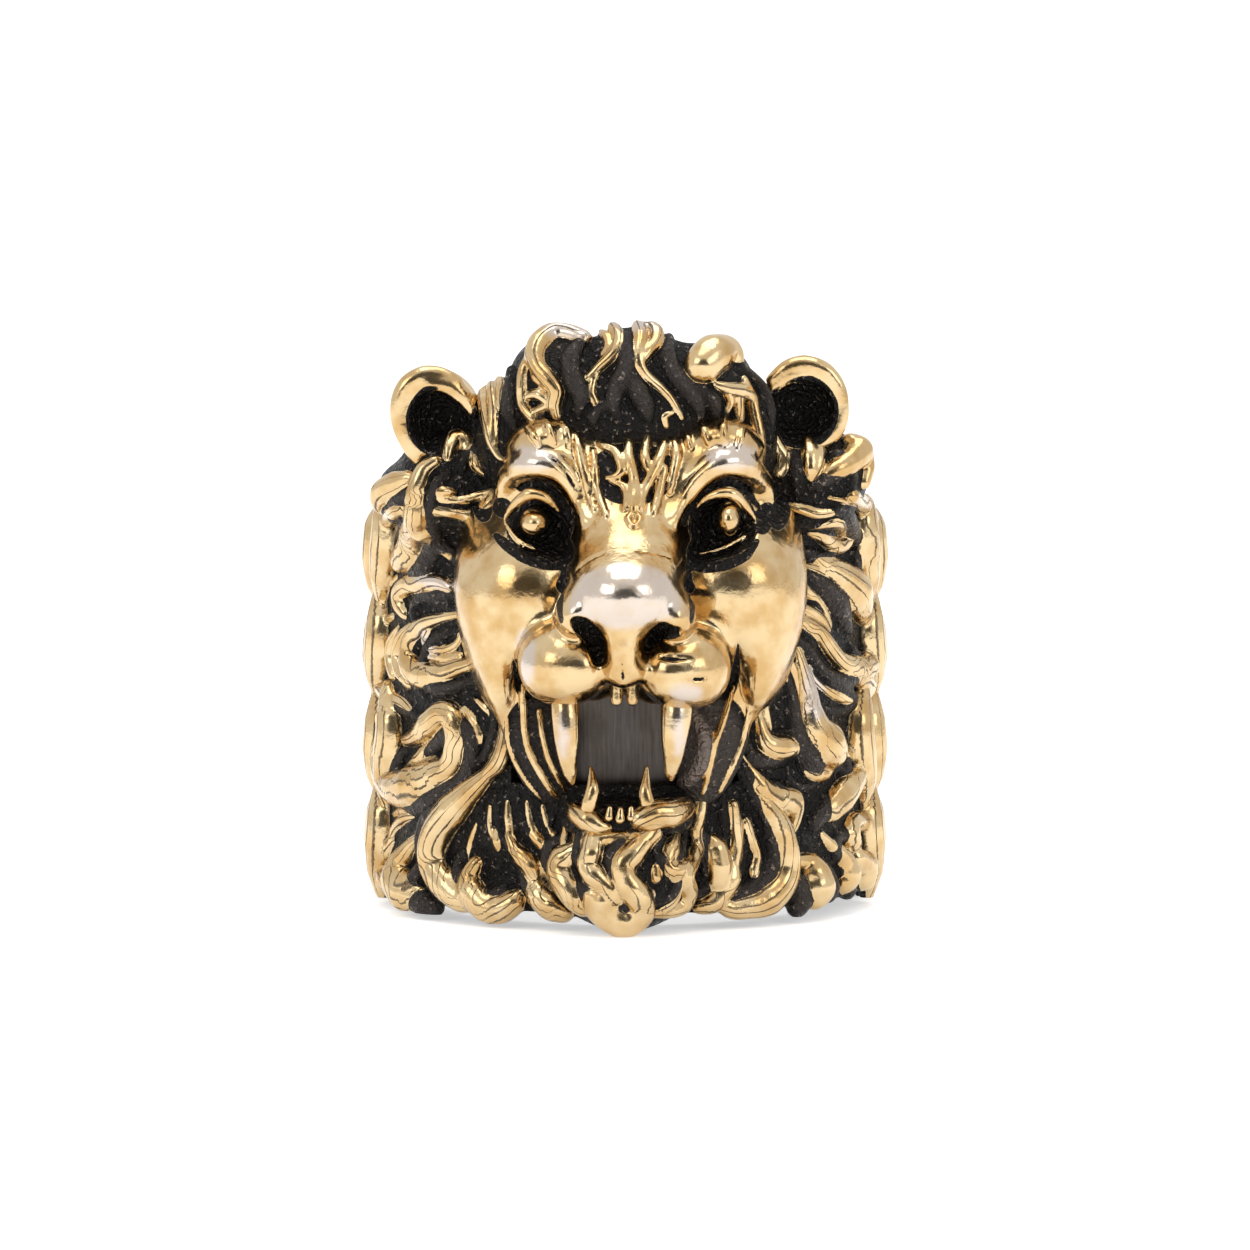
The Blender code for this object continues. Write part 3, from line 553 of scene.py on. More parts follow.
# Black locks that lie under the gilded ones
CROWN_BLACK_LOCKS: tuple[Stroke, ...] = (
    ((-2.2, 29.9, 0.3), (-2.7, 29.0, 0.5), (-2.6, 28.0, 0.5), (-2.2, 27.0, 0.45), (-2.4, 26.1, 0.2)),
    ((0.1, 30.2, 0.3), (0.1, 29.3, 0.4), (0.0, 28.4, 0.45), (-0.4, 27.5, 0.5), (-0.6, 26.6, 0.4),
     (-0.3, 25.9, 0.15)),
    ((0.4, 28.2, 0.2), (0.6, 27.4, 0.5), (1.0, 26.6, 0.5), (1.2, 25.8, 0.2)),
    ((2.3, 30.2, 0.25), (2.2, 29.3, 0.45), (2.4, 28.4, 0.5), (3.0, 27.6, 0.5), (3.6, 26.8, 0.45),
     (3.9, 25.9, 0.2)),
    ((3.6, 27.6, 0.2), (4.4, 26.9, 0.4), (4.6, 26.1, 0.3)),
    ((-5.9, 28.4, 0.3), (-5.9, 27.4, 0.4), (-5.9, 26.4, 0.4), (-5.6, 25.4, 0.2)),
    ((6.0, 28.6, 0.3), (7.0, 27.6, 0.4), (7.4, 26.4, 0.4), (7.4, 25.2, 0.2)),
    ((-1.0, 26.6, 0.2), (-1.6, 26.0, 0.35), (-1.5, 25.4, 0.15)),
)
BEARD_LOCKS: tuple[Stroke, ...] = (
    ((-2.0, 4.7, 0.2), (-1.4, 4.9, 0.25), (-0.6, 4.95, 0.22), (0.3, 4.95, 0.22), (0.9, 4.8, 0.3),
     (1.3, 5.2, 0.35), (1.8, 5.7, 0.15)),
    ((-1.6, 4.8, 0.3), (-1.7, 4.1, 0.35), (-1.9, 3.5, 0.3), (-1.6, 3.0, 0.35), (-1.2, 2.6, 0.3),
     (-0.8, 2.2, 0.3), (-0.5, 1.9, 0.3)),
    ((0.9, 4.7, 0.3), (0.4, 4.1, 0.35), (-0.1, 3.5, 0.35), (0.0, 2.8, 0.35), (0.3, 2.3, 0.4),
     (0.7, 1.8, 0.4), (0.9, 1.3, 0.35)),
    ((-1.6, 1.9, 0.3), (-1.5, 1.3, 0.35), (-0.9, 0.9, 0.45), (-0.2, 0.6, 0.5), (0.3, 0.6, 0.45),
     (0.8, 1.0, 0.4)),
    ((-0.9, 2.1, 0.25), (-1.1, 1.6, 0.4), (-0.7, 1.1, 0.35)),
    ((-1.8, 5.6, 0.2), (-1.4, 5.4, 0.25), (-0.9, 5.3, 0.15)),
    ((-2.5, 6.2, 0.15), (-2.1, 5.8, 0.25), (-1.9, 5.2, 0.2)),
    ((-2.6, 5.4, 0.12), (-2.5, 4.7, 0.15), (-2.7, 4.2, 0.15)),
    ((-5.0, 6.6, 0.05), (-4.8, 5.6, 0.09), (-4.3, 4.6, 0.1), (-3.8, 3.6, 0.06)),
    ((-4.2, 6.4, 0.05), (-3.9, 5.4, 0.09), (-3.5, 4.6, 0.06)),
    ((-6.9, 6.4, 0.04), (-6.9, 5.4, 0.08), (-6.6, 4.4, 0.05)),
    ((-7.5, 5.6, 0.04), (-7.9, 4.6, 0.08), (-8.0, 3.8, 0.05)),
    ((-7.9, 12.0, 0.04), (-7.2, 11.4, 0.09), (-6.6, 10.6, 0.06)),
    ((-7.0, 11.9, 0.04), (-6.5, 11.2, 0.08), (-6.2, 10.4, 0.05)),
    ((-2.9, 6.0, 0.12), (-3.1, 5.2, 0.12), (-3.3, 4.4, 0.12)),
    ((-2.7, 4.3, 0.2), (-3.2, 3.8, 0.4), (-3.3, 3.2, 0.42), (-3.0, 2.4, 0.4), (-2.6, 1.8, 0.38),
     (-2.2, 1.3, 0.3), (-1.8, 1.1, 0.15)),
    ((-5.9, 5.0, 0.12), (-5.7, 4.4, 0.18), (-5.2, 3.8, 0.28), (-4.7, 3.3, 0.3), (-4.6, 2.6, 0.22),
     (-4.3, 1.9, 0.4), (-3.7, 1.4, 0.45), (-3.2, 1.1, 0.35)),
    ((-4.2, 3.4, 0.15), (-3.9, 2.8, 0.12), (-3.6, 2.2, 0.1)),
    ((-4.9, 5.1, 0.1), (-4.4, 4.7, 0.16), (-4.0, 4.2, 0.14)),
    ((-6.5, 5.2, 0.1), (-6.5, 4.6, 0.15), (-6.5, 4.2, 0.06)),
    ((-6.0, 6.6, 0.06), (-5.95, 5.8, 0.12), (-5.9, 5.2, 0.12)),
    ((2.7, 5.8, 0.12), (2.6, 5.0, 0.18), (2.4, 4.3, 0.25), (2.2, 3.6, 0.2), (2.6, 3.2, 0.3),
     (3.1, 3.5, 0.2)),
    ((3.9, 7.0, 0.15), (3.8, 6.2, 0.2), (3.6, 5.2, 0.2), (3.7, 4.4, 0.22), (3.5, 3.6, 0.25),
     (3.1, 2.9, 0.3), (3.3, 2.1, 0.3), (3.0, 1.4, 0.3), (2.4, 1.0, 0.2), (1.4, 0.9, 0.12)),
    ((2.1, 3.0, 0.1), (2.6, 2.8, 0.16), (2.75, 2.2, 0.16), (2.5, 1.5, 0.16), (2.0, 1.1, 0.12)),
    ((1.6, 3.4, 0.12), (1.65, 2.8, 0.14)),
    ((1.4, 2.0, 0.1), (1.3, 1.3, 0.12)),
    ((4.4, 4.8, 0.12), (4.6, 4.2, 0.35), (4.7, 3.4, 0.4), (4.7, 2.7, 0.35), (4.6, 2.2, 0.15)),
    ((5.5, 6.4, 0.18), (5.65, 5.4, 0.2), (5.7, 4.4, 0.18), (5.5, 3.4, 0.2), (5.4, 2.7, 0.3),
     (5.0, 2.1, 0.3), (4.4, 1.5, 0.3), (3.8, 1.3, 0.2)),
    ((6.0, 9.0, 0.06), (6.4, 8.3, 0.12), (6.9, 7.4, 0.3), (7.6, 6.9, 0.3), (8.4, 6.6, 0.4),
     (8.7, 5.9, 0.22), (8.6, 5.2, 0.12), (8.4, 4.8, 0.05)),
    ((6.0, 8.1, 0.06), (6.6, 7.2, 0.14), (7.2, 6.3, 0.3), (7.8, 5.3, 0.4), (8.1, 4.3, 0.42),
     (8.2, 3.3, 0.42), (7.9, 2.4, 0.45), (7.2, 1.7, 0.5), (6.4, 1.4, 0.4), (5.5, 1.2, 0.3), (4.9, 1.4, 0.2)),
    ((7.3, 3.4, 0.06), (7.6, 2.9, 0.15), (7.3, 2.5, 0.1)),
    ((6.2, 5.6, 0.12), (6.5, 4.6, 0.15), (6.75, 3.9, 0.12), (6.6, 3.2, 0.14), (6.6, 2.6, 0.14),
     (6.3, 2.1, 0.08)),
    ((-6.0, 10.6, 0.2), (-6.1, 9.5, 0.28), (-6.4, 8.6, 0.3), (-7.0, 8.0, 0.22), (-7.8, 7.2, 0.35),
     (-8.7, 6.2, 0.5), (-9.4, 5.2, 0.5), (-9.7, 4.2, 0.5), (-9.6, 3.2, 0.48), (-9.0, 2.3, 0.48),
     (-8.3, 1.7, 0.4), (-7.8, 1.5, 0.25)),
    ((-8.6, 6.9, 0.08), (-9.5, 6.0, 0.12), (-10.0, 5.0, 0.12), (-10.1, 4.0, 0.1)),
    ((-7.6, 3.5, 0.2), (-7.9, 2.8, 0.3), (-7.7, 2.0, 0.45), (-7.0, 1.3, 0.45), (-6.3, 1.2, 0.42),
     (-5.7, 1.5, 0.35), (-5.4, 1.9, 0.15)),
)

LEFT_LOCKS: tuple[Stroke, ...] = (
    ((-11.9, 4.6, 0.12), (-12.2, 4.0, 0.26), (-12.35, 3.2, 0.34), (-12.2, 2.5, 0.36), (-11.9, 2.1, 0.2)),
    ((-10.5, 4.9, 0.1), (-11.0, 4.2, 0.28), (-11.4, 3.4, 0.48), (-11.4, 2.6, 0.68), (-11.0, 2.0, 0.68),
     (-10.5, 1.8, 0.4), (-10.2, 1.9, 0.15)),
    ((-12.1, 4.2, 0.1), (-11.9, 5.1, 0.16), (-11.4, 5.65, 0.18), (-10.7, 5.9, 0.08)),
    ((-11.9, 5.9, 0.08), (-11.3, 6.2, 0.14), (-10.4, 6.4, 0.06)),
    ((-11.2, 9.7, 0.2), (-10.6, 9.9, 0.3), (-9.9, 10.5, 0.45), (-9.2, 11.1, 0.42), (-8.7, 10.8, 0.45),
     (-8.5, 10.0, 0.42), (-8.6, 9.2, 0.42), (-9.0, 8.3, 0.4), (-9.8, 7.8, 0.55), (-10.6, 7.4, 0.7),
     (-11.4, 7.2, 0.6), (-12.0, 7.5, 0.5), (-12.3, 8.4, 0.5), (-12.3, 9.2, 0.45), (-11.9, 9.9, 0.2)),
    ((-11.6, 7.3, 0.12), (-11.0, 8.2, 0.22), (-10.3, 9.0, 0.22), (-9.4, 9.8, 0.08)),
    ((-10.7, 8.0, 0.2), (-10.2, 8.4, 0.2), (-9.6, 9.0, 0.06)),
    ((-8.2, 11.3, 0.1), (-7.7, 10.7, 0.14), (-7.4, 9.9, 0.12), (-7.5, 9.2, 0.06)),
    ((-12.8, 12.6, 0.35), (-12.2, 12.0, 0.3), (-11.3, 11.5, 0.18), (-10.5, 10.8, 0.06)),
    ((-8.9, 24.0, 0.1), (-8.8, 24.6, 0.25), (-8.5, 25.0, 0.35), (-8.1, 24.9, 0.3), (-7.8, 24.3, 0.22),
     (-7.4, 23.6, 0.18), (-6.9, 23.2, 0.14), (-6.5, 23.15, 0.06)),
    ((-9.6, 23.9, 0.2), (-10.2, 23.4, 0.25), (-10.5, 22.5, 0.3), (-10.6, 21.6, 0.35), (-10.5, 20.8, 0.45),
     (-10.5, 20.0, 0.6), (-10.9, 19.2, 0.55), (-11.4, 18.8, 0.4)),
    ((-10.2, 20.3, 0.45), (-9.5, 19.7, 0.3), (-8.9, 19.2, 0.25), (-8.4, 18.7, 0.12)),
    ((-10.9, 20.9, 0.12), (-11.5, 20.3, 0.2), (-11.75, 19.5, 0.22), (-11.5, 18.8, 0.3)),
    ((-10.6, 21.7, 0.2), (-9.9, 21.3, 0.18), (-9.0, 21.2, 0.2), (-8.0, 21.0, 0.2), (-7.4, 21.0, 0.3),
     (-6.8, 21.6, 0.3), (-6.6, 22.2, 0.1)),
    ((-10.0, 22.2, 0.1), (-9.2, 21.85, 0.13), (-8.3, 21.75, 0.13), (-7.3, 22.0, 0.13), (-6.6, 22.4, 0.06)),
    ((-9.7, 22.2, 0.14), (-9.2, 22.25, 0.18), (-8.6, 22.2, 0.1)),
    ((-11.0, 23.0, 0.2), (-11.6, 22.7, 0.4), (-12.3, 22.3, 0.4), (-12.6, 21.7, 0.25), (-12.5, 21.2, 0.1)),
    ((-11.0, 21.4, 0.12), (-11.7, 21.2, 0.25), (-12.2, 20.7, 0.3), (-12.3, 20.0, 0.25), (-12.2, 19.2, 0.15)),
    ((-8.9, 17.4, 0.2), (-9.4, 17.7, 0.25), (-10.2, 17.7, 0.3), (-11.0, 17.6, 0.32), (-11.5, 17.2, 0.3),
     (-11.5, 16.6, 0.28), (-11.3, 16.1, 0.18)),
    ((-9.0, 17.0, 0.12), (-9.8, 17.1, 0.18), (-10.7, 17.4, 0.16)),
    ((-11.7, 18.0, 0.08), (-12.2, 17.5, 0.12), (-12.5, 16.9, 0.1)),
    ((-11.9, 16.0, 0.1), (-12.3, 15.7, 0.16), (-12.5, 15.2, 0.12)),
    ((-8.4, 16.1, 0.1), (-9.3, 15.9, 0.14), (-10.2, 15.6, 0.25), (-10.8, 15.0, 0.3), (-11.0, 14.2, 0.35),
     (-10.8, 13.4, 0.45), (-10.2, 13.0, 0.45), (-9.3, 13.1, 0.3), (-8.4, 13.4, 0.25), (-7.7, 13.6, 0.2)),
    ((-10.0, 15.4, 0.1), (-10.2, 14.8, 0.16), (-9.9, 14.4, 0.16), (-9.2, 14.3, 0.14), (-8.6, 14.6, 0.12),
     (-8.3, 15.2, 0.1)),
    ((-9.9, 13.9, 0.12), (-9.2, 13.85, 0.14), (-8.4, 14.0, 0.12)),
    ((-8.0, 15.9, 0.08), (-7.8, 15.0, 0.14), (-7.6, 14.1, 0.1)),
    ((-11.0, 15.5, 0.1), (-11.5, 14.9, 0.2), (-11.7, 14.0, 0.22), (-11.5, 13.2, 0.25), (-11.0, 12.6, 0.2)),
    ((-11.6, 15.4, 0.1), (-12.0, 14.7, 0.2), (-12.05, 13.8, 0.22), (-11.9, 13.0, 0.18)),
)

RIGHT_LOCKS: tuple[Stroke, ...] = (
    ((10.3, 23.2, 0.25), (10.8, 23.5, 0.35), (11.4, 23.9, 0.4), (11.8, 24.4, 0.5), (11.4, 24.9, 0.3)),
    ((12.2, 24.2, 0.3), (12.35, 23.5, 0.25), (12.2, 22.7, 0.2)),
    ((9.2, 24.9, 0.25), (9.3, 24.2, 0.3), (9.3, 23.5, 0.25), (9.3, 22.9, 0.1)),
    ((9.75, 24.9, 0.2), (9.8, 24.0, 0.18), (9.6, 23.2, 0.15), (9.35, 22.5, 0.06)),
    ((7.3, 25.5, 0.2), (7.6, 24.7, 0.28), (7.9, 24.0, 0.25), (7.7, 23.3, 0.2)),
    ((8.1, 24.6, 0.12), (8.2, 24.0, 0.12), (7.9, 23.4, 0.08)),
    ((8.1, 21.5, 0.1), (8.8, 21.3, 0.18), (9.6, 21.1, 0.2), (10.4, 21.1, 0.15)),
    ((9.1, 20.3, 0.08), (9.9, 20.4, 0.12), (10.8, 20.6, 0.2), (11.1, 20.3, 0.25), (11.2, 19.8, 0.3),
     (10.7, 19.6, 0.3), (9.9, 19.9, 0.2), (9.3, 20.0, 0.06)),
    ((10.3, 21.9, 0.06), (11.2, 21.7, 0.1), (12.0, 21.4, 0.2)),
    ((11.5, 22.0, 0.25), (12.1, 21.5, 0.4), (12.5, 20.6, 0.45), (12.5, 19.5, 0.4), (12.5, 18.5, 0.4),
     (12.6, 17.6, 0.3)),
    ((11.0, 21.2, 0.08), (11.6, 20.5, 0.12), (11.9, 19.6, 0.08)),
    ((8.2, 20.2, 0.08), (8.8, 19.5, 0.1), (9.6, 19.0, 0.15), (10.2, 18.6, 0.3), (10.9, 18.0, 0.55),
     (11.5, 17.3, 0.7), (11.9, 16.5, 0.5), (12.2, 15.9, 0.25)),
    ((9.2, 18.5, 0.1), (9.8, 18.3, 0.15), (10.2, 17.8, 0.15), (10.6, 17.1, 0.18), (11.0, 16.5, 0.12)),
    ((8.95, 17.9, 0.1), (9.2, 17.3, 0.18), (9.7, 16.9, 0.15), (10.2, 16.2, 0.14), (10.5, 15.5, 0.1)),
    ((8.7, 16.4, 0.12), (9.3, 16.3, 0.18), (9.9, 15.9, 0.18), (10.3, 15.3, 0.16), (10.45, 14.8, 0.08)),
    ((8.6, 15.8, 0.15), (9.2, 15.6, 0.25), (9.9, 15.1, 0.28), (10.4, 14.4, 0.3), (10.9, 13.8, 0.3),
     (11.5, 13.4, 0.4), (12.1, 13.4, 0.5), (12.5, 13.9, 0.5), (12.5, 14.6, 0.4), (12.3, 15.1, 0.2)),
    ((11.2, 13.3, 0.3), (11.9, 12.9, 0.4), (12.3, 12.5, 0.4)),
    ((8.4, 15.4, 0.12), (8.35, 14.6, 0.16), (8.3, 14.2, 0.08)),
    ((7.6, 13.6, 0.08), (8.2, 13.8, 0.14), (8.6, 13.3, 0.14), (8.75, 12.4, 0.12), (8.8, 11.5, 0.1)),
    ((7.2, 13.0, 0.08), (7.7, 13.1, 0.14), (8.2, 12.8, 0.14), (8.4, 12.0, 0.14), (8.8, 11.2, 0.14),
     (8.9, 10.8, 0.08)),
    ((8.8, 14.6, 0.1), (9.0, 13.6, 0.2), (9.25, 12.4, 0.32), (9.4, 11.2, 0.42), (9.6, 10.2, 0.6),
     (10.0, 9.6, 0.75), (10.4, 9.2, 0.6)),
    ((10.1, 10.6, 0.08), (10.7, 10.4, 0.15), (10.95, 9.8, 0.16), (10.95, 9.0, 0.18), (10.5, 8.5, 0.15),
     (9.9, 8.6, 0.12), (9.6, 9.0, 0.06)),
    ((9.0, 9.0, 0.12), (9.1, 8.4, 0.22), (9.6, 8.0, 0.25), (10.2, 8.0, 0.22), (10.7, 8.4, 0.1)),
    ((9.4, 13.6, 0.06), (9.6, 12.9, 0.1), (10.2, 12.3, 0.12), (11.0, 11.9, 0.2), (11.7, 11.8, 0.22),
     (12.3, 12.1, 0.3)),
    ((6.4, 12.8, 0.2), (6.6, 11.8, 0.15), (6.8, 10.8, 0.18), (7.0, 9.9, 0.3), (7.4, 9.4, 0.42),
     (8.0, 9.35, 0.4), (8.5, 9.4, 0.3), (8.9, 9.7, 0.12)),
    ((7.0, 12.2, 0.1), (7.2, 11.2, 0.12), (7.4, 10.3, 0.1)),
    ((11.9, 9.6, 0.25), (12.1, 9.0, 0.35), (11.9, 8.2, 0.4), (11.4, 7.4, 0.5), (10.9, 6.8, 0.55),
     (10.4, 6.2, 0.45), (10.3, 5.8, 0.15)),
    ((11.2, 9.0, 0.2), (11.8, 8.9, 0.25)),
    ((12.6, 6.2, 0.2), (12.3, 5.6, 0.35), (11.6, 5.4, 0.35), (11.5, 4.6, 0.4), (12.0, 4.4, 0.15)),
    ((8.8, 3.6, 0.2), (9.4, 3.5, 0.3), (9.6, 2.9, 0.55), (9.7, 2.3, 0.65), (9.6, 1.9, 0.5)),
    ((10.1, 4.9, 0.1), (10.5, 4.4, 0.2), (11.1, 3.7, 0.35), (11.3, 2.9, 0.5), (11.2, 2.5, 0.4)),
    ((11.8, 3.7, 0.35), (12.2, 3.2, 0.5), (12.2, 2.7, 0.45)),
)

# Round the back the mane repeats one S-shaped lock: (along the band, height, half width) from its middle
BAND_LOCK: Stroke = (
    (-1.1, 2.5, 0.2), (-0.2, 2.1, 0.55), (0.5, 1.1, 0.85), (0.45, -0.1, 0.95), (-0.3, -1.2, 0.8),
    (-1.0, -2.1, 0.5), (-0.9, -2.9, 0.14),
)
# How far its middle stands out as a share of its half width, and how far it stays under the band's upper edge
BAND_LIFT = 0.25
BAND_RIM = 0.3
# Rows of locks, the height of a row that the lock is drawn for, and the degrees from lock to lock
BAND_ROWS = 4
BAND_LOCK_ROOM = 4.1
BAND_LOCK_ARC = 13.0
# Angle from the face where the rows begin
BAND_START = 74.0
# Most degrees that a lock sways from its place, and how the sway goes on from row to row and along a row
BAND_SWAY = 2.4
SWAY_BY_ROW = 2.1
SWAY_BY_COLUMN = 1.3

# Forms of the face, and the width over which each melts into those before it
MASK_FORMS = (
    (Form((0.35, 18.4, -9.4), (8.2, 7.4, 4.5)), 0.5),
    (Form((0.4, 22.9, -10.6), (6.3, 2.9, 3.7)), 1.2),
    (Form((-6.8, 16.8, -9.4), (1.6, 5.2, 2.6), -6.0), 0.8),
    (Form((7.3, 16.9, -9.4), (1.6, 5.2, 2.6), 6.0), 0.8),
    (Form((-3.8, 24.3, -11.5), (2.2, 1.3, 2.3), 6.0), 1.3),
    (Form((4.8, 24.3, -11.5), (2.2, 1.3, 2.3), -6.0), 1.3),
    (Form((-3.9, 25.15, -11.9), (1.4, 0.85, 2.1)), 0.8),
    (Form((4.8, 25.15, -11.9), (1.4, 0.85, 2.1)), 0.8),
    (Form((-4.75, 17.2, -11.6), (3.5, 3.6, 3.5), -10.0), 1.4),
    (Form((5.35, 17.4, -11.6), (3.5, 3.6, 3.5), 10.0), 1.4),
    (Form((-6.45, 13.9, -11.4), (1.05, 3.2, 2.4), -10.0), 1.5),
    (Form((7.0, 14.1, -11.4), (1.1, 3.1, 2.4), 12.0), 1.5),
    (Form((0.35, 21.0, -13.0), (2.1, 2.2, 1.9)), 1.0),
    (Form((0.15, 19.6, -14.0), (2.75, 2.2, 2.5)), 1.0),
    (Form((0.15, 18.4, -14.9), (2.85, 2.0, 2.7)), 0.8),
    (Form((-4.35, 10.2, -11.4), (1.75, 3.7, 1.5), -13.0), 0.8),
    (Form((4.45, 10.1, -11.4), (1.75, 3.7, 1.5), 13.0), 0.8),
    (Form((-3.35, 13.7, -15.0), (2.0, 2.15, 2.8), 10.0), 0.8),
    (Form((3.3, 13.45, -15.0), (2.0, 2.1, 2.8), -10.0), 0.8),
    (Form((-2.2, 13.55, -15.4), (1.5, 1.75, 2.6)), 0.9),
    (Form((2.15, 13.35, -15.4), (1.5, 1.75, 2.6)), 0.9),
    (Form((0.0, 13.4, -15.8), (1.7, 0.75, 2.3)), 0.5),
    (Form((0.0, 17.1, -16.4), (2.8, 2.3, 3.15)), 0.9),
    (Form((-2.45, 16.2, -16.4), (1.05, 1.3, 2.2), 12.0), 0.5),
    (Form((2.5, 16.1, -16.4), (1.05, 1.3, 2.2), -12.0), 0.5),
    (Form((-0.1, 14.7, -17.1), (1.0, 2.3, 1.8)), 0.6),
)
BROWS: tuple[Stroke, ...] = (
    ((-6.1, 22.1, 0.35), (-5.7, 23.1, 0.6), (-4.7, 23.65, 0.7), (-3.6, 23.5, 0.68), (-2.8, 22.8, 0.52),
     (-2.25, 21.8, 0.36), (-1.95, 20.8, 0.25)),
    ((7.1, 21.7, 0.35), (6.8, 22.7, 0.55), (6.0, 23.5, 0.66), (4.9, 23.7, 0.68), (3.8, 23.0, 0.56),
     (2.9, 21.9, 0.42), (2.35, 20.8, 0.28)),
)
EYE_HOLLOWS = (
    Form((-4.4, 20.5, -15.0), (2.05, 1.6, 2.7), 25.0),
    Form((-3.5, 19.5, -15.4), (1.1, 0.75, 2.6), 40.0),
    Form((5.0, 20.5, -15.0), (2.1, 1.65, 2.7), -25.0),
    Form((4.05, 19.4, -15.4), (1.15, 0.75, 2.6), -40.0),
)
MOUTH_HOLLOW = Form((-0.2, 8.2, -14.0), (2.75, 3.9, 6.0))
NOSTRILS: tuple[Stroke, ...] = (
    ((-2.4, 15.6, 0.4), (-1.8, 15.3, 0.55), (-1.45, 14.6, 0.5), (-1.35, 13.8, 0.28)),
    ((2.4, 15.2, 0.36), (1.8, 15.3, 0.5), (1.35, 14.9, 0.42), (1.15, 14.4, 0.25)),
)
FACE_STRANDS: tuple[Stroke, ...] = (
    ((-1.5, 25.1, 0.08), (-1.13, 24.5, 0.2), (-0.55, 24.25, 0.26), (-0.26, 23.75, 0.28), (-0.15, 23.2, 0.26),
     (-0.5, 22.95, 0.2), (-0.9, 22.9, 0.1)),
    ((0.15, 25.2, 0.1), (0.2, 24.6, 0.26), (0.17, 24.0, 0.28), (0.38, 23.2, 0.28), (0.45, 22.5, 0.3),
     (0.42, 21.7, 0.3), (0.4, 21.3, 0.2)),
    ((1.15, 25.3, 0.08), (1.08, 24.85, 0.26), (0.98, 23.9, 0.28), (1.15, 23.3, 0.22)),
    ((2.0, 25.2, 0.1), (1.94, 24.5, 0.28), (1.65, 23.72, 0.3), (1.27, 22.95, 0.28), (0.9, 22.2, 0.26),
     (0.74, 21.3, 0.18)),
    ((2.5, 25.1, 0.08), (2.5, 24.6, 0.24), (2.56, 24.0, 0.26), (2.37, 23.1, 0.2), (2.2, 22.2, 0.14)),
    ((1.94, 23.4, 0.2), (1.7, 22.4, 0.26), (1.5, 21.6, 0.24), (1.4, 21.1, 0.14)),
    ((-1.6, 24.3, 0.12), (-1.5, 23.4, 0.2), (-1.4, 22.5, 0.2), (-1.13, 21.6, 0.2), (-0.9, 21.0, 0.14)),
    ((-0.65, 22.75, 0.1), (-0.1, 22.5, 0.22), (0.1, 21.95, 0.22), (0.0, 21.3, 0.14)),
    ((-2.5, 25.1, 0.12), (-2.4, 24.5, 0.24), (-2.15, 23.6, 0.26), (-1.9, 22.8, 0.26), (-1.75, 22.0, 0.22),
     (-1.5, 21.3, 0.14)),
    ((-4.9, 25.5, 0.1), (-4.5, 25.0, 0.2), (-4.3, 24.5, 0.1)),
    ((-4.1, 26.0, 0.08), (-3.8, 25.4, 0.2), (-3.5, 24.6, 0.1)),
    ((-3.3, 25.9, 0.08), (-3.0, 25.3, 0.2), (-2.8, 24.5, 0.1)),
    ((3.0, 25.5, 0.1), (3.2, 24.9, 0.2), (3.3, 24.4, 0.1)),
    ((3.9, 25.9, 0.08), (4.0, 25.3, 0.2), (4.2, 24.6, 0.1)),
    ((5.0, 26.0, 0.08), (4.9, 25.4, 0.2), (5.0, 24.6, 0.1)),
    ((5.8, 25.4, 0.1), (5.7, 24.9, 0.2), (5.6, 24.4, 0.1)),
    ((0.45, 21.2, 0.11), (0.75, 20.85, 0.11), (0.45, 20.45, 0.11), (0.15, 20.85, 0.11), (0.45, 21.2, 0.11)),
    ((-5.2, 12.6, 0.2), (-5.1, 11.4, 0.2), (-5.0, 10.2, 0.18), (-4.7, 9.0, 0.18), (-3.8, 7.4, 0.18),
     (-3.1, 6.6, 0.1)),
    ((-5.9, 11.0, 0.08), (-5.8, 9.8, 0.14), (-5.3, 8.4, 0.14), (-4.5, 7.2, 0.12), (-3.9, 6.5, 0.06)),
    ((-4.3, 11.2, 0.12), (-4.2, 10.3, 0.14), (-3.9, 9.0, 0.16), (-3.5, 8.1, 0.16), (-3.0, 7.2, 0.1)),
    ((5.4, 12.5, 0.12), (5.0, 11.0, 0.16), (4.5, 9.6, 0.18), (4.2, 8.2, 0.16), (3.9, 7.1, 0.1)),
    ((6.2, 11.4, 0.08), (5.9, 10.0, 0.15), (5.3, 8.4, 0.16), (4.7, 7.2, 0.12)),
)
# Eyelids: (across, height, half width, depth)
EYELIDS: tuple[Stroke, ...] = (
    ((-6.0, 20.9, 0.12, -12.9), (-5.5, 21.6, 0.25, -13.6), (-4.8, 22.1, 0.32, -14.0),
     (-4.1, 22.0, 0.26, -14.1), (-3.6, 21.6, 0.16, -14.0), (-3.3, 21.2, 0.06, -13.9)),
    ((-6.0, 20.7, 0.1, -12.9), (-5.4, 19.85, 0.15, -13.6), (-4.8, 19.5, 0.12, -13.9),
     (-4.3, 19.25, 0.05, -13.9)),
    ((3.4, 21.2, 0.05, -13.8), (3.9, 21.8, 0.14, -14.0), (4.7, 22.15, 0.26, -14.1), (5.4, 22.1, 0.3, -14.0),
     (6.0, 21.5, 0.25, -13.5), (6.5, 20.8, 0.12, -12.8)),
    ((3.6, 19.1, 0.05, -13.8), (4.4, 19.25, 0.1, -13.9), (5.2, 19.55, 0.13, -13.7), (6.3, 20.2, 0.1, -12.9)),
)
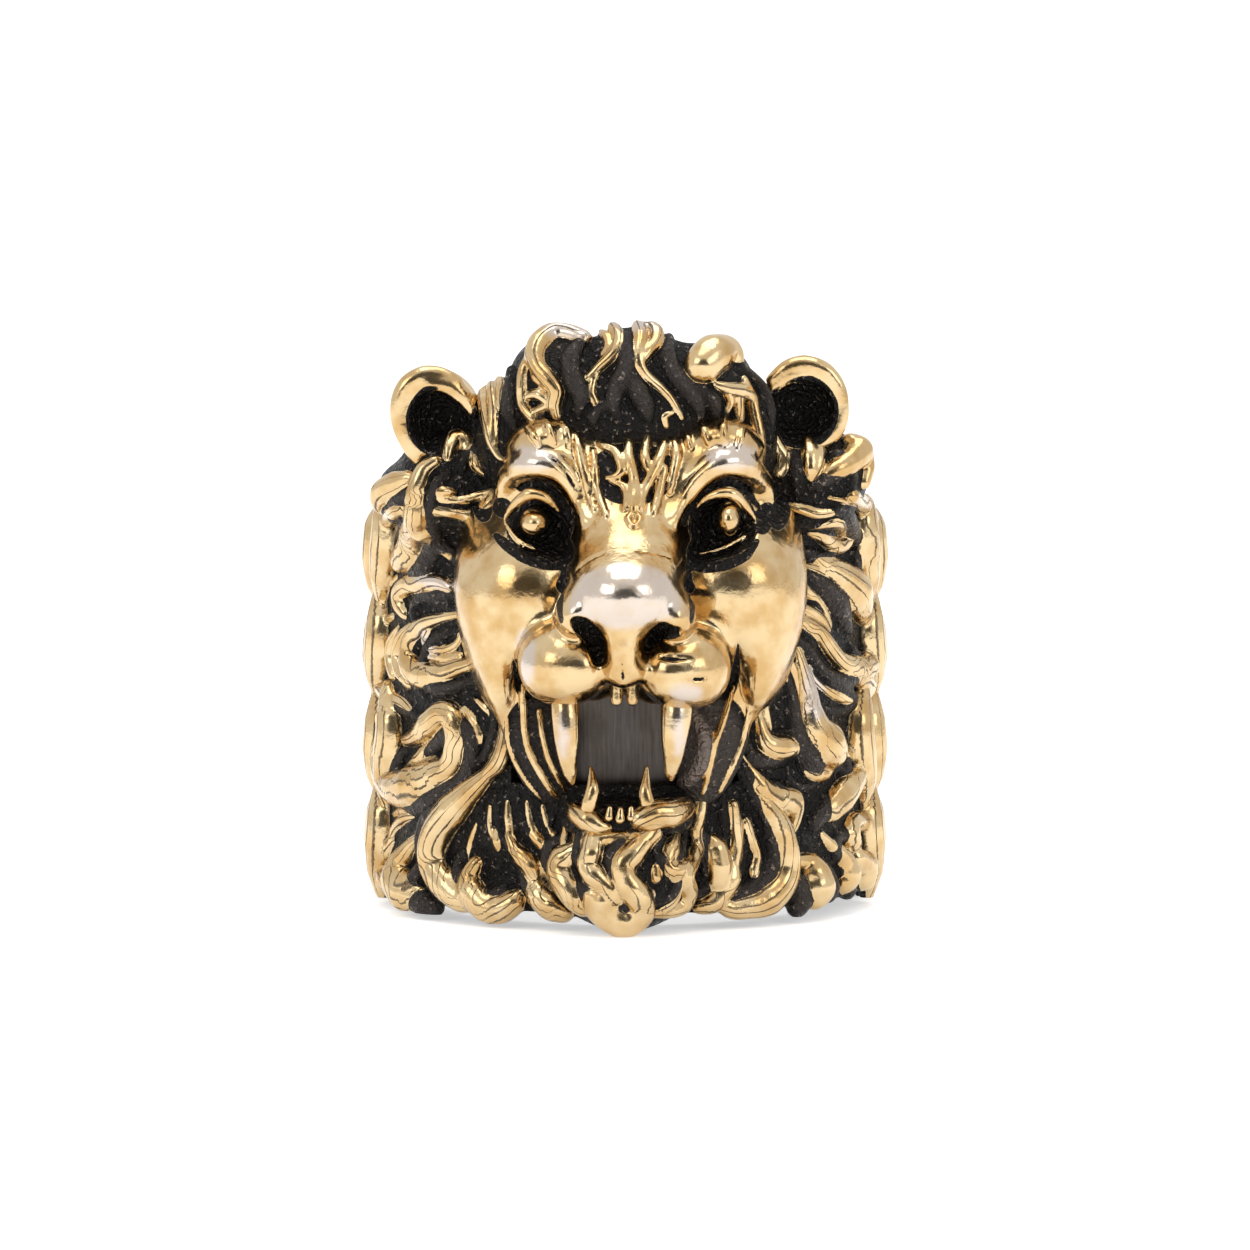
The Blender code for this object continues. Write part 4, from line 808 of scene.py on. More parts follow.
# The smooth grey fold beside the mouth
GREY_FOLD: Stroke = ((3.4, 11.2, 0.2), (4.0, 10.0, 0.36), (3.8, 8.6, 0.4), (3.1, 7.7, 0.3), (2.4, 7.45, 0.12))
FACE_GROOVES: tuple[Stroke, ...] = (
    ((-5.5, 14.2, 0.04), (-5.45, 13.2, 0.1), (-5.3, 12.5, 0.16), (-5.0, 12.0, 0.2)),
    ((5.6, 14.8, 0.04), (5.6, 14.0, 0.1), (5.5, 13.0, 0.16), (5.0, 12.0, 0.2)),
    ((-5.3, 22.4, 0.08), (-4.85, 22.65, 0.16), (-4.1, 22.55, 0.2), (-3.4, 22.1, 0.2), (-2.9, 21.4, 0.16),
     (-2.6, 20.6, 0.1)),
    ((6.6, 21.6, 0.1), (6.05, 22.35, 0.18), (5.3, 22.75, 0.2), (4.4, 22.45, 0.2), (3.55, 21.75, 0.18),
     (2.95, 20.7, 0.1)),
    ((-3.9, 24.1, 0.05), (-3.1, 23.4, 0.12), (-2.5, 22.4, 0.12), (-2.1, 21.4, 0.06)),
    ((4.4, 24.0, 0.05), (3.4, 23.1, 0.12), (2.8, 22.2, 0.12), (2.4, 21.4, 0.06)),
    ((-0.1, 14.0, 0.09), (-0.12, 13.4, 0.1), (-0.1, 12.7, 0.1)),
    ((0.48, 21.1, 0.05), (0.48, 20.8, 0.1), (0.48, 20.5, 0.05)),
    ((1.7, 13.95, 0.08), (2.4, 13.85, 0.15), (3.3, 13.85, 0.09)),
    ((3.1, 12.95, 0.08), (3.6, 12.8, 0.14), (4.1, 12.9, 0.08)),
    ((-2.4, 18.3, 0.07), (-1.7, 18.85, 0.09), (-1.1, 19.1, 0.07)),
    ((0.6, 19.25, 0.05), (1.4, 19.15, 0.07), (2.2, 18.95, 0.05)),
)
# Black patina along creases and round the eyes; the strokes between the cheeks and the muzzle pads are also
# painted shade
FACE_SOOT_AND_SHADE_STROKES: tuple[Stroke, ...] = (
    ((-2.75, 18.8, 0.25), (-3.05, 17.6, 0.34), (-3.25, 16.7, 0.34), (-3.2, 15.9, 0.25)),
    ((3.0, 18.6, 0.22), (3.15, 17.5, 0.3), (3.35, 16.6, 0.32), (3.3, 15.9, 0.25)),
    # Painted shade in the crease between each cheek and its muzzle pad, over the patina there
    ((-5.55, 13.8, 0.02), (-5.45, 13.0, 0.16), (-5.2, 12.4, 0.3), (-4.8, 11.9, 0.45)),
    ((5.65, 14.6, 0.02), (5.6, 13.8, 0.12), (5.5, 13.0, 0.26), (4.9, 11.9, 0.45)),
    ((-5.3, 22.4, 0.12), (-4.85, 22.65, 0.22), (-4.1, 22.55, 0.26), (-3.4, 22.1, 0.28), (-2.9, 21.4, 0.26),
     (-2.6, 20.6, 0.2)),
    ((6.6, 21.6, 0.15), (6.05, 22.35, 0.24), (5.3, 22.75, 0.26), (4.4, 22.45, 0.26), (3.55, 21.75, 0.26),
     (2.95, 20.7, 0.2)),
    ((-6.5, 20.1, 0.12), (-5.9, 19.55, 0.26), (-5.0, 18.95, 0.34), (-4.0, 18.65, 0.34), (-3.2, 18.6, 0.28)),
    ((6.6, 19.8, 0.1), (6.0, 19.05, 0.26), (5.0, 18.6, 0.34), (4.0, 18.5, 0.34), (3.3, 18.6, 0.28)),
)
# The black sides of the mouth, the black gum above it, and all the other forms of the face that are black
MOUTH_SIDES = (
    Form((-4.1, 8.9, -12.0), (1.9, 3.3, 4.5), -12.0),
    Form((4.2, 8.9, -12.0), (1.9, 3.3, 4.5), 12.0),
)
UPPER_GUM = Form((0.0, 11.9, -15.0), (2.0, 0.75, 3.0))
FACE_SOOT_FORMS = (
    Form((0.4, 23.2, -14.5), (2.2, 1.6, 2.5)),
    UPPER_GUM,
    Form((-7.2, 21.5, -11.5), (0.5, 0.8, 3.0), -15.0),
    Form((7.8, 21.2, -11.5), (0.5, 0.85, 3.0), 15.0),
    Form((-6.2, 21.35, -12.8), (0.55, 0.5, 3.0)),
    Form((7.0, 20.9, -12.6), (0.5, 0.75, 3.0), 20.0),
    Form((-4.4, 20.6, -14.5), (1.85, 1.55, 4.0), 20.0),
    Form((-3.6, 19.6, -14.5), (1.25, 0.8, 4.0), 42.0),
    Form((5.0, 20.6, -14.5), (1.9, 1.6, 4.0), -20.0),
    Form((4.2, 19.5, -14.5), (1.3, 0.85, 4.0), -42.0),
)
# Places where the gilding is rubbed through, some widened over pale reflections: partly real wear, partly
# painted pale reflection
WORN_AND_REFLECTION_FORMS = (
    Form((0.0, 17.0, -19.0), (3.4, 1.7, 2.0)),
    Form((-4.9, 23.9, -14.5), (1.6, 0.7, 2.0)),
    Form((5.6, 24.0, -14.5), (1.7, 0.7, 2.0)),
    Form((-5.0, 14.0, -16.0), (0.8, 1.5, 2.0)),
    Form((3.0, 12.2, -17.0), (0.9, 0.6, 2.0)),
    Form((-2.6, 30.4, -12.0), (1.6, 0.6, 2.5)),
    Form((0.6, 30.8, -12.0), (1.6, 0.5, 2.5)),
    Form((-3.1, 10.0, -16.4), (0.35, 1.4, 0.8)),
    Form((2.7, 10.2, -16.4), (0.35, 1.4, 0.8)),
    Form((-9.6, 17.6, -10.0), (1.6, 0.5, 4.0)),
    Form((-10.2, 14.2, -10.0), (0.8, 1.2, 4.0)),
    Form((9.6, 12.2, -10.0), (0.7, 1.8, 4.0)),
)

# Beads of the eyes
LEFT_BEAD = Form((-4.52, 20.72, -13.45), (0.74, 0.74, 1.25))
RIGHT_BEAD = Form((5.15, 20.88, -13.45), (0.62, 0.92, 1.25))
# Teeth: (across, height, half width, depth)
FANGS: dict[str, Stroke] = {
    "upper_fang_left": ((-3.0, 12.0, 0.72, -15.4), (-2.95, 10.9, 0.7, -15.7), (-2.9, 9.9, 0.64, -15.8),
                        (-2.85, 9.0, 0.5, -15.6), (-2.75, 8.2, 0.36, -15.3), (-2.62, 7.6, 0.1, -15.0)),
    "upper_fang_right": ((2.6, 12.0, 0.82, -15.4), (2.55, 10.9, 0.78, -15.7), (2.45, 9.9, 0.66, -15.8),
                         (2.4, 9.0, 0.5, -15.6), (2.3, 8.3, 0.36, -15.3), (2.28, 7.8, 0.12, -15.0)),
    "lower_fang_left": ((-1.9, 6.0, 0.4, -14.2), (-1.75, 6.6, 0.42, -14.4), (-1.6, 7.3, 0.36, -14.4),
                        (-1.65, 7.9, 0.22, -14.2), (-1.7, 8.45, 0.07, -14.0)),
    "lower_fang_right": ((1.2, 6.0, 0.45, -14.2), (1.1, 6.6, 0.42, -14.4), (1.0, 7.2, 0.34, -14.4),
                         (1.05, 7.8, 0.23, -14.2), (1.1, 8.45, 0.08, -14.0)),
}
INCISORS: dict[str, tuple[Stroke, ...]] = {
    "upper_incisors": (((-0.45, 12.6, 0.36, -15.3), (-0.42, 11.8, 0.3, -15.4)),
                       ((0.4, 12.6, 0.36, -15.3), (0.38, 11.8, 0.3, -15.4))),
    "lower_incisors": (((-0.8, 5.9, 0.24, -14.75), (-0.75, 6.35, 0.14, -14.75)),
                       ((-0.25, 5.8, 0.26, -14.85), (-0.22, 6.3, 0.14, -14.85)),
                       ((0.3, 5.9, 0.24, -14.75), (0.3, 6.35, 0.14, -14.75))),
}
# The lower lip, and the ridges on it
JAW_FORM = Form((0.1, 5.7, -12.3), (3.3, 1.2, 2.4))
JAW_STRANDS: tuple[Stroke, ...] = (
    ((0.8, 5.9, 0.3), (1.5, 6.15, 0.4), (2.3, 6.2, 0.42), (3.0, 6.5, 0.32), (3.6, 7.1, 0.1)),
    ((-2.9, 6.6, 0.15), (-2.4, 6.2, 0.32), (-1.9, 5.8, 0.36), (-1.4, 5.4, 0.25), (-0.9, 5.3, 0.1)),
    ((0.6, 5.5, 0.1), (1.3, 5.5, 0.2), (1.9, 5.6, 0.14)),
)

# Each ear: its body, the cup that is hollowed out of it, and the strokes of its rim
LEFT_EAR = Form((-9.35, 25.95, -8.6), (2.25, 2.55, 1.7), -8.0)
LEFT_EAR_CUP = Form((-9.15, 25.75, -10.7), (1.75, 1.85, 2.6), -8.0)
LEFT_EAR_RIMS: tuple[Stroke, ...] = (
    ((-10.3, 23.7, 0.25), (-10.9, 24.6, 0.32), (-11.35, 25.7, 0.36), (-11.35, 26.8, 0.42),
     (-10.9, 27.7, 0.46), (-10.1, 28.2, 0.42), (-9.2, 28.25, 0.3), (-8.4, 27.9, 0.2)),
    ((-10.6, 27.6, 0.2), (-9.8, 27.75, 0.42), (-8.9, 27.6, 0.5), (-8.2, 27.1, 0.45), (-7.7, 26.4, 0.25)),
)
RIGHT_EAR = Form((8.95, 26.35, -8.6), (2.25, 2.5, 1.7), 8.0)
RIGHT_EAR_CUP = Form((8.8, 26.2, -10.7), (1.85, 1.8, 2.6), 8.0)
RIGHT_EAR_RIMS: tuple[Stroke, ...] = (
    ((9.3, 24.6, 0.3), (10.2, 24.9, 0.34), (10.8, 25.6, 0.3), (10.95, 26.6, 0.28), (10.7, 27.6, 0.34),
     (10.0, 28.4, 0.42), (9.0, 28.7, 0.46), (8.1, 28.5, 0.4), (7.3, 27.9, 0.25)),
    ((9.9, 28.0, 0.15), (9.0, 28.2, 0.35), (8.2, 28.0, 0.35), (7.4, 27.4, 0.2)),
)


def band_locks(start: float, stop: float, side: Side) -> list[Strand]:
    """The band's own locks, in staggered rows.

    Args:
        start: First angle from the face, in degrees.
        stop: Last angle from the face.
        side: The side of the face that they are on.

    Returns:
        The strand of each lock.
    """
    strands = []
    for row in range(BAND_ROWS):
        angle = 180.0 - BAND_LOCK_ARC * (0.5 + 0.5 * (row % 2))
        column = 0
        while angle >= start:
            if angle < stop:
                strands.append(band_lock(angle, row, column, side))
            angle -= BAND_LOCK_ARC
            column += 1
    return strands


def band_lock(angle: float, row: int, column: int, side: Side) -> Strand:
    """One lock of the band, whose rows fill the height between its edges and sway to and fro.

    Args:
        angle: Degrees from the face to the lock's middle.
        row: Its row, from the lower edge.
        column: Its place in the row, from the back.
        side: The side of the face that it is on.

    Returns:
        Places and half widths along the lock.
    """
    low = max(0.0, float(lower_edge(angle)))
    room = (float(sleeve_top(angle, GROUND_RADIUS)) - low) / BAND_ROWS
    sway = BAND_SWAY * math.sin(SWAY_BY_ROW * row + SWAY_BY_COLUMN * column)
    points = []
    for along, up, half_width in BAND_LOCK:
        radius = GROUND_RADIUS + BAND_LIFT * half_width
        turn = math.radians(side.value * (angle + sway - math.degrees(along / radius)))
        rim = float(sleeve_top(math.degrees(turn), GROUND_RADIUS)) - BAND_RIM
        height = min(low + room * (row + 0.5 + up / BAND_LOCK_ROOM), rim)
        points.append(np.array([radius * math.sin(turn), -radius * math.cos(turn), height]))
    return curve_through(points, [point[2] for point in BAND_LOCK])


@dataclass
class Hollows:
    """How enclosed each place of the whole ring is: 0 in the open, one half on a flat, 1 deep inside."""

    low: Corner = (-15.0, -22.0, -2.0)
    high: Corner = (15.0, 15.0, 33.0)
    voxel: float = 0.25
    blur_steps: int = 2
    passes: int = 3
    sleeve_height: float = 22.0
    coarse: Clay = field(init=False)

    def __post_init__(self) -> None:
        """Sets out a coarse grid, empty but for the finger sleeve."""
        self.coarse = Clay(self.low, self.high, self.voxel)
        x, y, z = self.coarse.whole()
        radius = np.sqrt(x * x + y * y)
        wall = (radius < SEAT_RADIUS) & (radius > BORE_RADIUS) & (z < self.sleeve_height)
        self.coarse.field = wall.astype(np.float32)

    def fill(self, clay: Clay) -> None:
        """Fills the grid with a casting.

        Args:
            clay: The casting's clay.
        """
        last = clay.low + (np.array(clay.field.shape) - 1) * clay.voxel
        parts, grid = self.coarse.block(clay.low + self.voxel, last - self.voxel)
        x, y, z = np.broadcast_arrays(*grid)
        distance = clay.sample(np.stack([x.ravel(), y.ravel(), z.ravel()], axis=1)).reshape(x.shape)
        filled = self.coarse.field
        filled[parts] = np.maximum(filled[parts], np.clip(0.5 - distance / self.voxel, 0, 1))

    def blur(self) -> None:
        """Averages the grid over its near neighbours, again and again along each axis."""
        for axis in list(range(3)) * self.passes:
            steps = range(-self.blur_steps, self.blur_steps + 1)
            shifted = [np.roll(self.coarse.field, step, axis) for step in steps]
            self.coarse.field = sum(shifted) / len(shifted)

    def at(self, points: Array) -> Array:
        """How enclosed points are."""
        return self.coarse.sample(points)


def without_crumbs(corners: Array, faces: Array) -> tuple[Array, Array]:
    """Leaves the loose crumbs and closed bubbles out of a skin.

    Args:
        corners: All the corners of the skin.
        faces: Corners of each of its four-sided faces.

    Returns:
        The corners and faces that stay.
    """
    first, second = faces[:, :3].ravel(), faces[:, 1:].ravel()
    body = np.arange(len(corners))
    while np.any(body[first] != body[second]):
        lower = np.minimum(body[first], body[second])
        np.minimum.at(body, body[first], lower)
        np.minimum.at(body, body[second], lower)
        body = body[body]
    kept = np.bincount(body, minlength=len(corners))[body] >= CRUMB
    return corners[kept], (np.cumsum(kept) - 1)[faces[kept[faces[:, 0]]]]


def place_mesh(node: str, corners: Array, faces: Array, axis: Vector) -> bpy.types.Object:
    """A smooth mesh on the CAD frame.

    Args:
        node: The CAD node that it is made for.
        corners: Corners in millimetres in the ring's frame.
        faces: Corners of each face.
        axis: Foot of the finger's axis in metres.

    Returns:
        The object, in the scene.
    """
    mesh = bpy.data.meshes.new(node + "_casting")
    mesh.from_pydata((corners * MM + np.array(axis)).tolist(), [], faces.tolist())
    mesh.shade_smooth()
    obj = bpy.data.objects.new(node + "_casting", mesh)
    bpy.context.scene.collection.objects.link(obj)
    return obj


def stand_for(obj: bpy.types.Object, node: str, slot: Slot) -> None:
    """Lets an object stand for a CAD node and move with the ring.

    Args:
        obj: The dressed piece.
        node: The CAD node.
        slot: The library's name for its material; not used.
    """
    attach(obj, "root")
    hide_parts(node)


@dataclass
class Casting:
    """A casting of the ring: its CAD node, its block of clay, and how it tarnishes and wears."""

    node: str
    low: Corner = (0.0, 0.0, 0.0)
    high: Corner = (0.0, 0.0, 0.0)
    voxel: float = 0.11
    tarnish: float = 1.0
    worn_and_reflection_edge: Span = (-0.4, 0.3)
    clay: Clay = field(init=False)
    corners: Array = field(init=False)

    def __post_init__(self) -> None:
        """Sets out an empty block of clay."""
        self.clay = Clay(self.low, self.high, self.voxel)

    def sculpt(self) -> None:
        """Models the casting."""
        raise NotImplementedError(self.node)

    def gilding(self) -> Array:
        """How much gold shows at each corner of the skin, from 0 to 1."""
        return np.ones(len(self.corners))

    def bare_metal_and_painted_sheen(self) -> Array:
        """How much bare grey metal, or painted sheen on the ridges of the black locks, shows where there is
        no gold, from 0 to 1.
        """
        return np.zeros(len(self.corners))

    def combing(self) -> Array:
        """Engraved lines counted from the middle of a lock, with a line at each half."""
        return np.zeros(len(self.corners))

    def wear_and_painted_reflection(self) -> Array:
        """How much the gilding is rubbed through, partly real wear and partly painted pale reflection.

        Returns:
            From 0 to 1 for each corner of the skin.
        """
        worn = np.zeros(len(self.corners))
        for form in WORN_AND_REFLECTION_FORMS:
            distance = ellipsoid_distance(*self.corners.T, form)
            worn = np.maximum(worn, 1 - smooth_step(*self.worn_and_reflection_edge, distance))
        return worn

    def build(self, axis: Vector) -> bpy.types.Object:
        """Makes the casting's mesh.

        Args:
            axis: Foot of the finger's axis in metres.

        Returns:
            The bare object.
        """
        self.corners, faces = without_crumbs(*self.clay.polygons())
        return place_mesh(self.node, self.corners, faces, axis)

    def dress(self, obj: bpy.types.Object, hollows: Hollows, finish: bpy.types.Material) -> None:
        """Marks the mesh for its finish, and lets it stand for its CAD node.

        Args:
            obj: The casting's mesh.
            hollows: How enclosed each place is.
            finish: The material that reads the marks.
        """
        marks = {Mark.GILT: self.gilding(), Mark.HOLLOW: self.tarnish * hollows.at(self.corners),
                 Mark.WORN: self.wear_and_painted_reflection(), Mark.FOLD: self.bare_metal_and_painted_sheen(), Mark.COMB: self.combing()}
        for mark, numbers in marks.items():
            attribute = obj.data.attributes.new(mark.value, "FLOAT", "POINT")
            attribute.data.foreach_set("value", numbers.astype(np.float32))
        obj.data.materials.append(finish)
        stand_for(obj, self.node, Slot.GILT)


@dataclass
class HairCasting(Casting):
    """A blackened mass of hair with gilded locks on it."""

    masses: tuple[Form, ...] = ()
    mass_blend: float = 0.8
    locks: tuple[Stroke, ...] = ()
    fullness: float = 1.5
    black_locks: tuple[Stroke, ...] = ()
    black_share: float = 1.1
    black_shift: Span | None = None
    black_blend: float = 0.2
    # Share of painted sheen: a lighter bare-metal grey laid on the ridges of the black locks
    painted_sheen: float = 0.22
    # Heights above the ground over which the gold sets in, and the painted sheen of the black locks
    gilt_rise: Span = (0.02, 0.09)
    painted_sheen_rise: Span = (0.1, 0.4)
    panel: tuple[float, ...] | None = None
    side: Side | None = None
    bare: Array = field(init=False)
    strands: list[Strand] = field(default_factory=list)

    def sculpt(self) -> None:
        """Models the ground, lays the locks on it and clears the seat of the sleeve."""
        if self.panel:
            self.clay.add_panel(*self.panel)
        for mass in self.masses:
            self.clay.add(mass, self.mass_blend)
        self.clay.keep_ground(wall=self.panel is not None)
        self.bare = self.clay.ground
        self.strands = self.own_strands()
        for strand in self.black_strands():
            self.clay.add_strand(strand, self.black_blend)
        self.clay.keep_ground(wall=self.panel is not None)
        for strand in self.strands:
            self.clay.add_strand(strand)
        self.clay.bore()

    def black_strands(self) -> list[Strand]:
        """The black locks between the gilded ones.

        Returns:
            Those drawn in the front view, and a shifted copy of each gilded lock where there is a shift.
        """
        strokes = list(self.black_locks)
        if self.black_shift:
            across, up = self.black_shift
            for lock in self.locks:
                strokes.append(tuple((x + across, h + up, half_width * self.black_share)
                                     for x, h, half_width in lock))
        return [self.clay.lay(stroke, BLACK_LIFT, GRAZE) for stroke in strokes]

    def own_strands(self) -> list[Strand]:
        """The gilded locks.

        Returns:
            Those of the band where it goes on over this side, and those drawn in the front view.
        """
        strands = band_locks(BAND_START, SIDE_EDGE, self.side) if self.side else []
        for lock in self.locks:
            full = tuple((x, h, half_width * self.fullness) for x, h, half_width in lock)
            strands.append(self.clay.lay(full, LOCK_LIFT, GRAZE))
        return strands

    def gilding(self) -> Array:
        """Gold on everything that stands above the ground."""
        return smooth_step(*self.gilt_rise, self.clay.sample(self.corners, self.clay.ground))

    def bare_metal_and_painted_sheen(self) -> Array:
        """A painted sheen along the ridges of the black locks: lighter grey metal where they rise highest,
        standing in for the light that they catch.
        """
        return self.painted_sheen * smooth_step(*self.painted_sheen_rise, self.clay.sample(self.corners, self.bare))

    def combing(self) -> Array:
        """Lines along the broad locks, which draw together where a lock tapers.

        Returns:
            At each corner, its place across the nearest lock, counted in lines.
        """
        counts = np.zeros(len(self.corners))
        nearest = np.full(len(self.corners), REACH)
        for number, strand in enumerate(self.strands):
            places = np.array([place for place, _ in strand])
            radii = np.array([radius for _, radius in strand])
            sideways = self.sideways(places)
            length = np.linalg.norm(np.diff(places, axis=0), axis=1).sum()
            lines = round(radii.max() / COMB_SPACING) if length > COMB_LEAST * radii.max() else 0
            shift = COMB_SHIFTS[number % len(COMB_SHIFTS)] if lines else 0.0
            near = self.corners_between(places.min(0) - REACH, places.max(0) + REACH)
            for i in range(len(strand) - 1):
                points = self.corners[near]
                distance = cone_distance(*points.T, places[i], places[i + 1], (radii[i], radii[i + 1]))
                closer = distance < nearest[near]
                chosen = near[closer]
                nearest[chosen] = distance[closer]
                run = places[i + 1] - places[i]
                offset = points[closer] - places[i]
                share = np.clip(offset @ run / max(run @ run, TINY), 0, 1)
                direction = sideways[i] + share[:, None] * (sideways[i + 1] - sideways[i])
                across = np.sum((offset - share[:, None] * run) * direction, axis=1)
                counts[chosen] = across / (radii[i] + share * (radii[i + 1] - radii[i])) * lines + shift
        return counts

    def sideways(self, places: Array) -> Array:
        """Directions across a lock.

        Args:
            places: Points along its middle.

        Returns:
            A unit vector for each of them.
        """
        across = np.cross(np.gradient(places, axis=0), self.clay.outward(places))
        return across / np.maximum(np.linalg.norm(across, axis=1, keepdims=True), TINY)

    def corners_between(self, low: Array, high: Array) -> Array:
        """Numbers of the corners between two opposite corners of a box."""
        return np.nonzero(np.all((self.corners > low) & (self.corners < high), axis=1))[0]


@dataclass
class Crown(HairCasting):
    """The hair over the forehead."""

    node: str = "crown"
    low: Corner = (-8.4, -15.8, 21.0)
    high: Corner = (8.4, -6.0, 31.8)
    voxel: float = 0.1
    masses: tuple[Form, ...] = CROWN_MASSES
    locks: tuple[Stroke, ...] = CROWN_LOCKS
    black_locks: tuple[Stroke, ...] = CROWN_BLACK_LOCKS


@dataclass
class Beard(HairCasting):
    """The hair under the mouth, down to its tip."""

    node: str = "beard"
    low: Corner = (-11.0, -16.4, -0.3)
    high: Corner = (10.6, -6.5, 11.6)
    masses: tuple[Form, ...] = (CHIN_MASS,)
    locks: tuple[Stroke, ...] = BEARD_LOCKS
    fullness: float = 1.8
    black_shift: Span | None = (-0.6, 0.55)
    panel: tuple[float, ...] | None = (-BEARD_EDGE, BEARD_EDGE, BEARD_TOP)


@dataclass
class LeftMane(HairCasting):
    """The mane on the viewer's left."""

    node: str = "mane_left"
    low: Corner = (-14.2, -12.2, 0.2)
    high: Corner = (-4.8, 1.6, 26.6)
    masses: tuple[Form, ...] = LEFT_TEMPLES
    locks: tuple[Stroke, ...] = LEFT_LOCKS
    fullness: float = 1.6
    black_shift: Span | None = (0.75, -0.65)
    panel: tuple[float, ...] | None = (-SIDE_EDGE, -FACE_EDGE)
    side: Side | None = Side.LEFT


@dataclass
class RightMane(HairCasting):
    """The mane on the viewer's right."""

    node: str = "mane_right"
    low: Corner = (4.8, -12.2, 0.2)
    high: Corner = (14.2, 1.6, 26.6)
    masses: tuple[Form, ...] = RIGHT_TEMPLES
    locks: tuple[Stroke, ...] = RIGHT_LOCKS
    fullness: float = 1.6
    black_shift: Span | None = (-0.75, -0.65)
    panel: tuple[float, ...] | None = (FACE_EDGE, SIDE_EDGE)
    side: Side | None = Side.RIGHT


@dataclass
class BackMane(HairCasting):
    """The mane round the back: staggered rows of one lock, the left half mirroring the right."""

    node: str = "mane_back"
    low: Corner = (-14.2, -1.6, -0.3)
    high: Corner = (14.2, 14.2, 21.6)
    voxel: float = 0.157
    panel: tuple[float, ...] | None = (SIDE_EDGE, 360.0 - SIDE_EDGE)

    def own_strands(self) -> list[Strand]:
        """The band's locks on both sides of the middle."""
        return band_locks(SIDE_EDGE, 180.0, Side.RIGHT) + band_locks(SIDE_EDGE, 180.0, Side.LEFT)


@dataclass
class LowerJaw(HairCasting):
    """The lower lip: dark, with gilded ridges."""

    node: str = "lower_jaw"
    low: Corner = (-4.4, -16.2, 2.6)
    high: Corner = (4.4, -8.5, 8.2)
    voxel: float = 0.1
    masses: tuple[Form, ...] = (JAW_FORM,)
    locks: tuple[Stroke, ...] = JAW_STRANDS
    fullness: float = 1.8


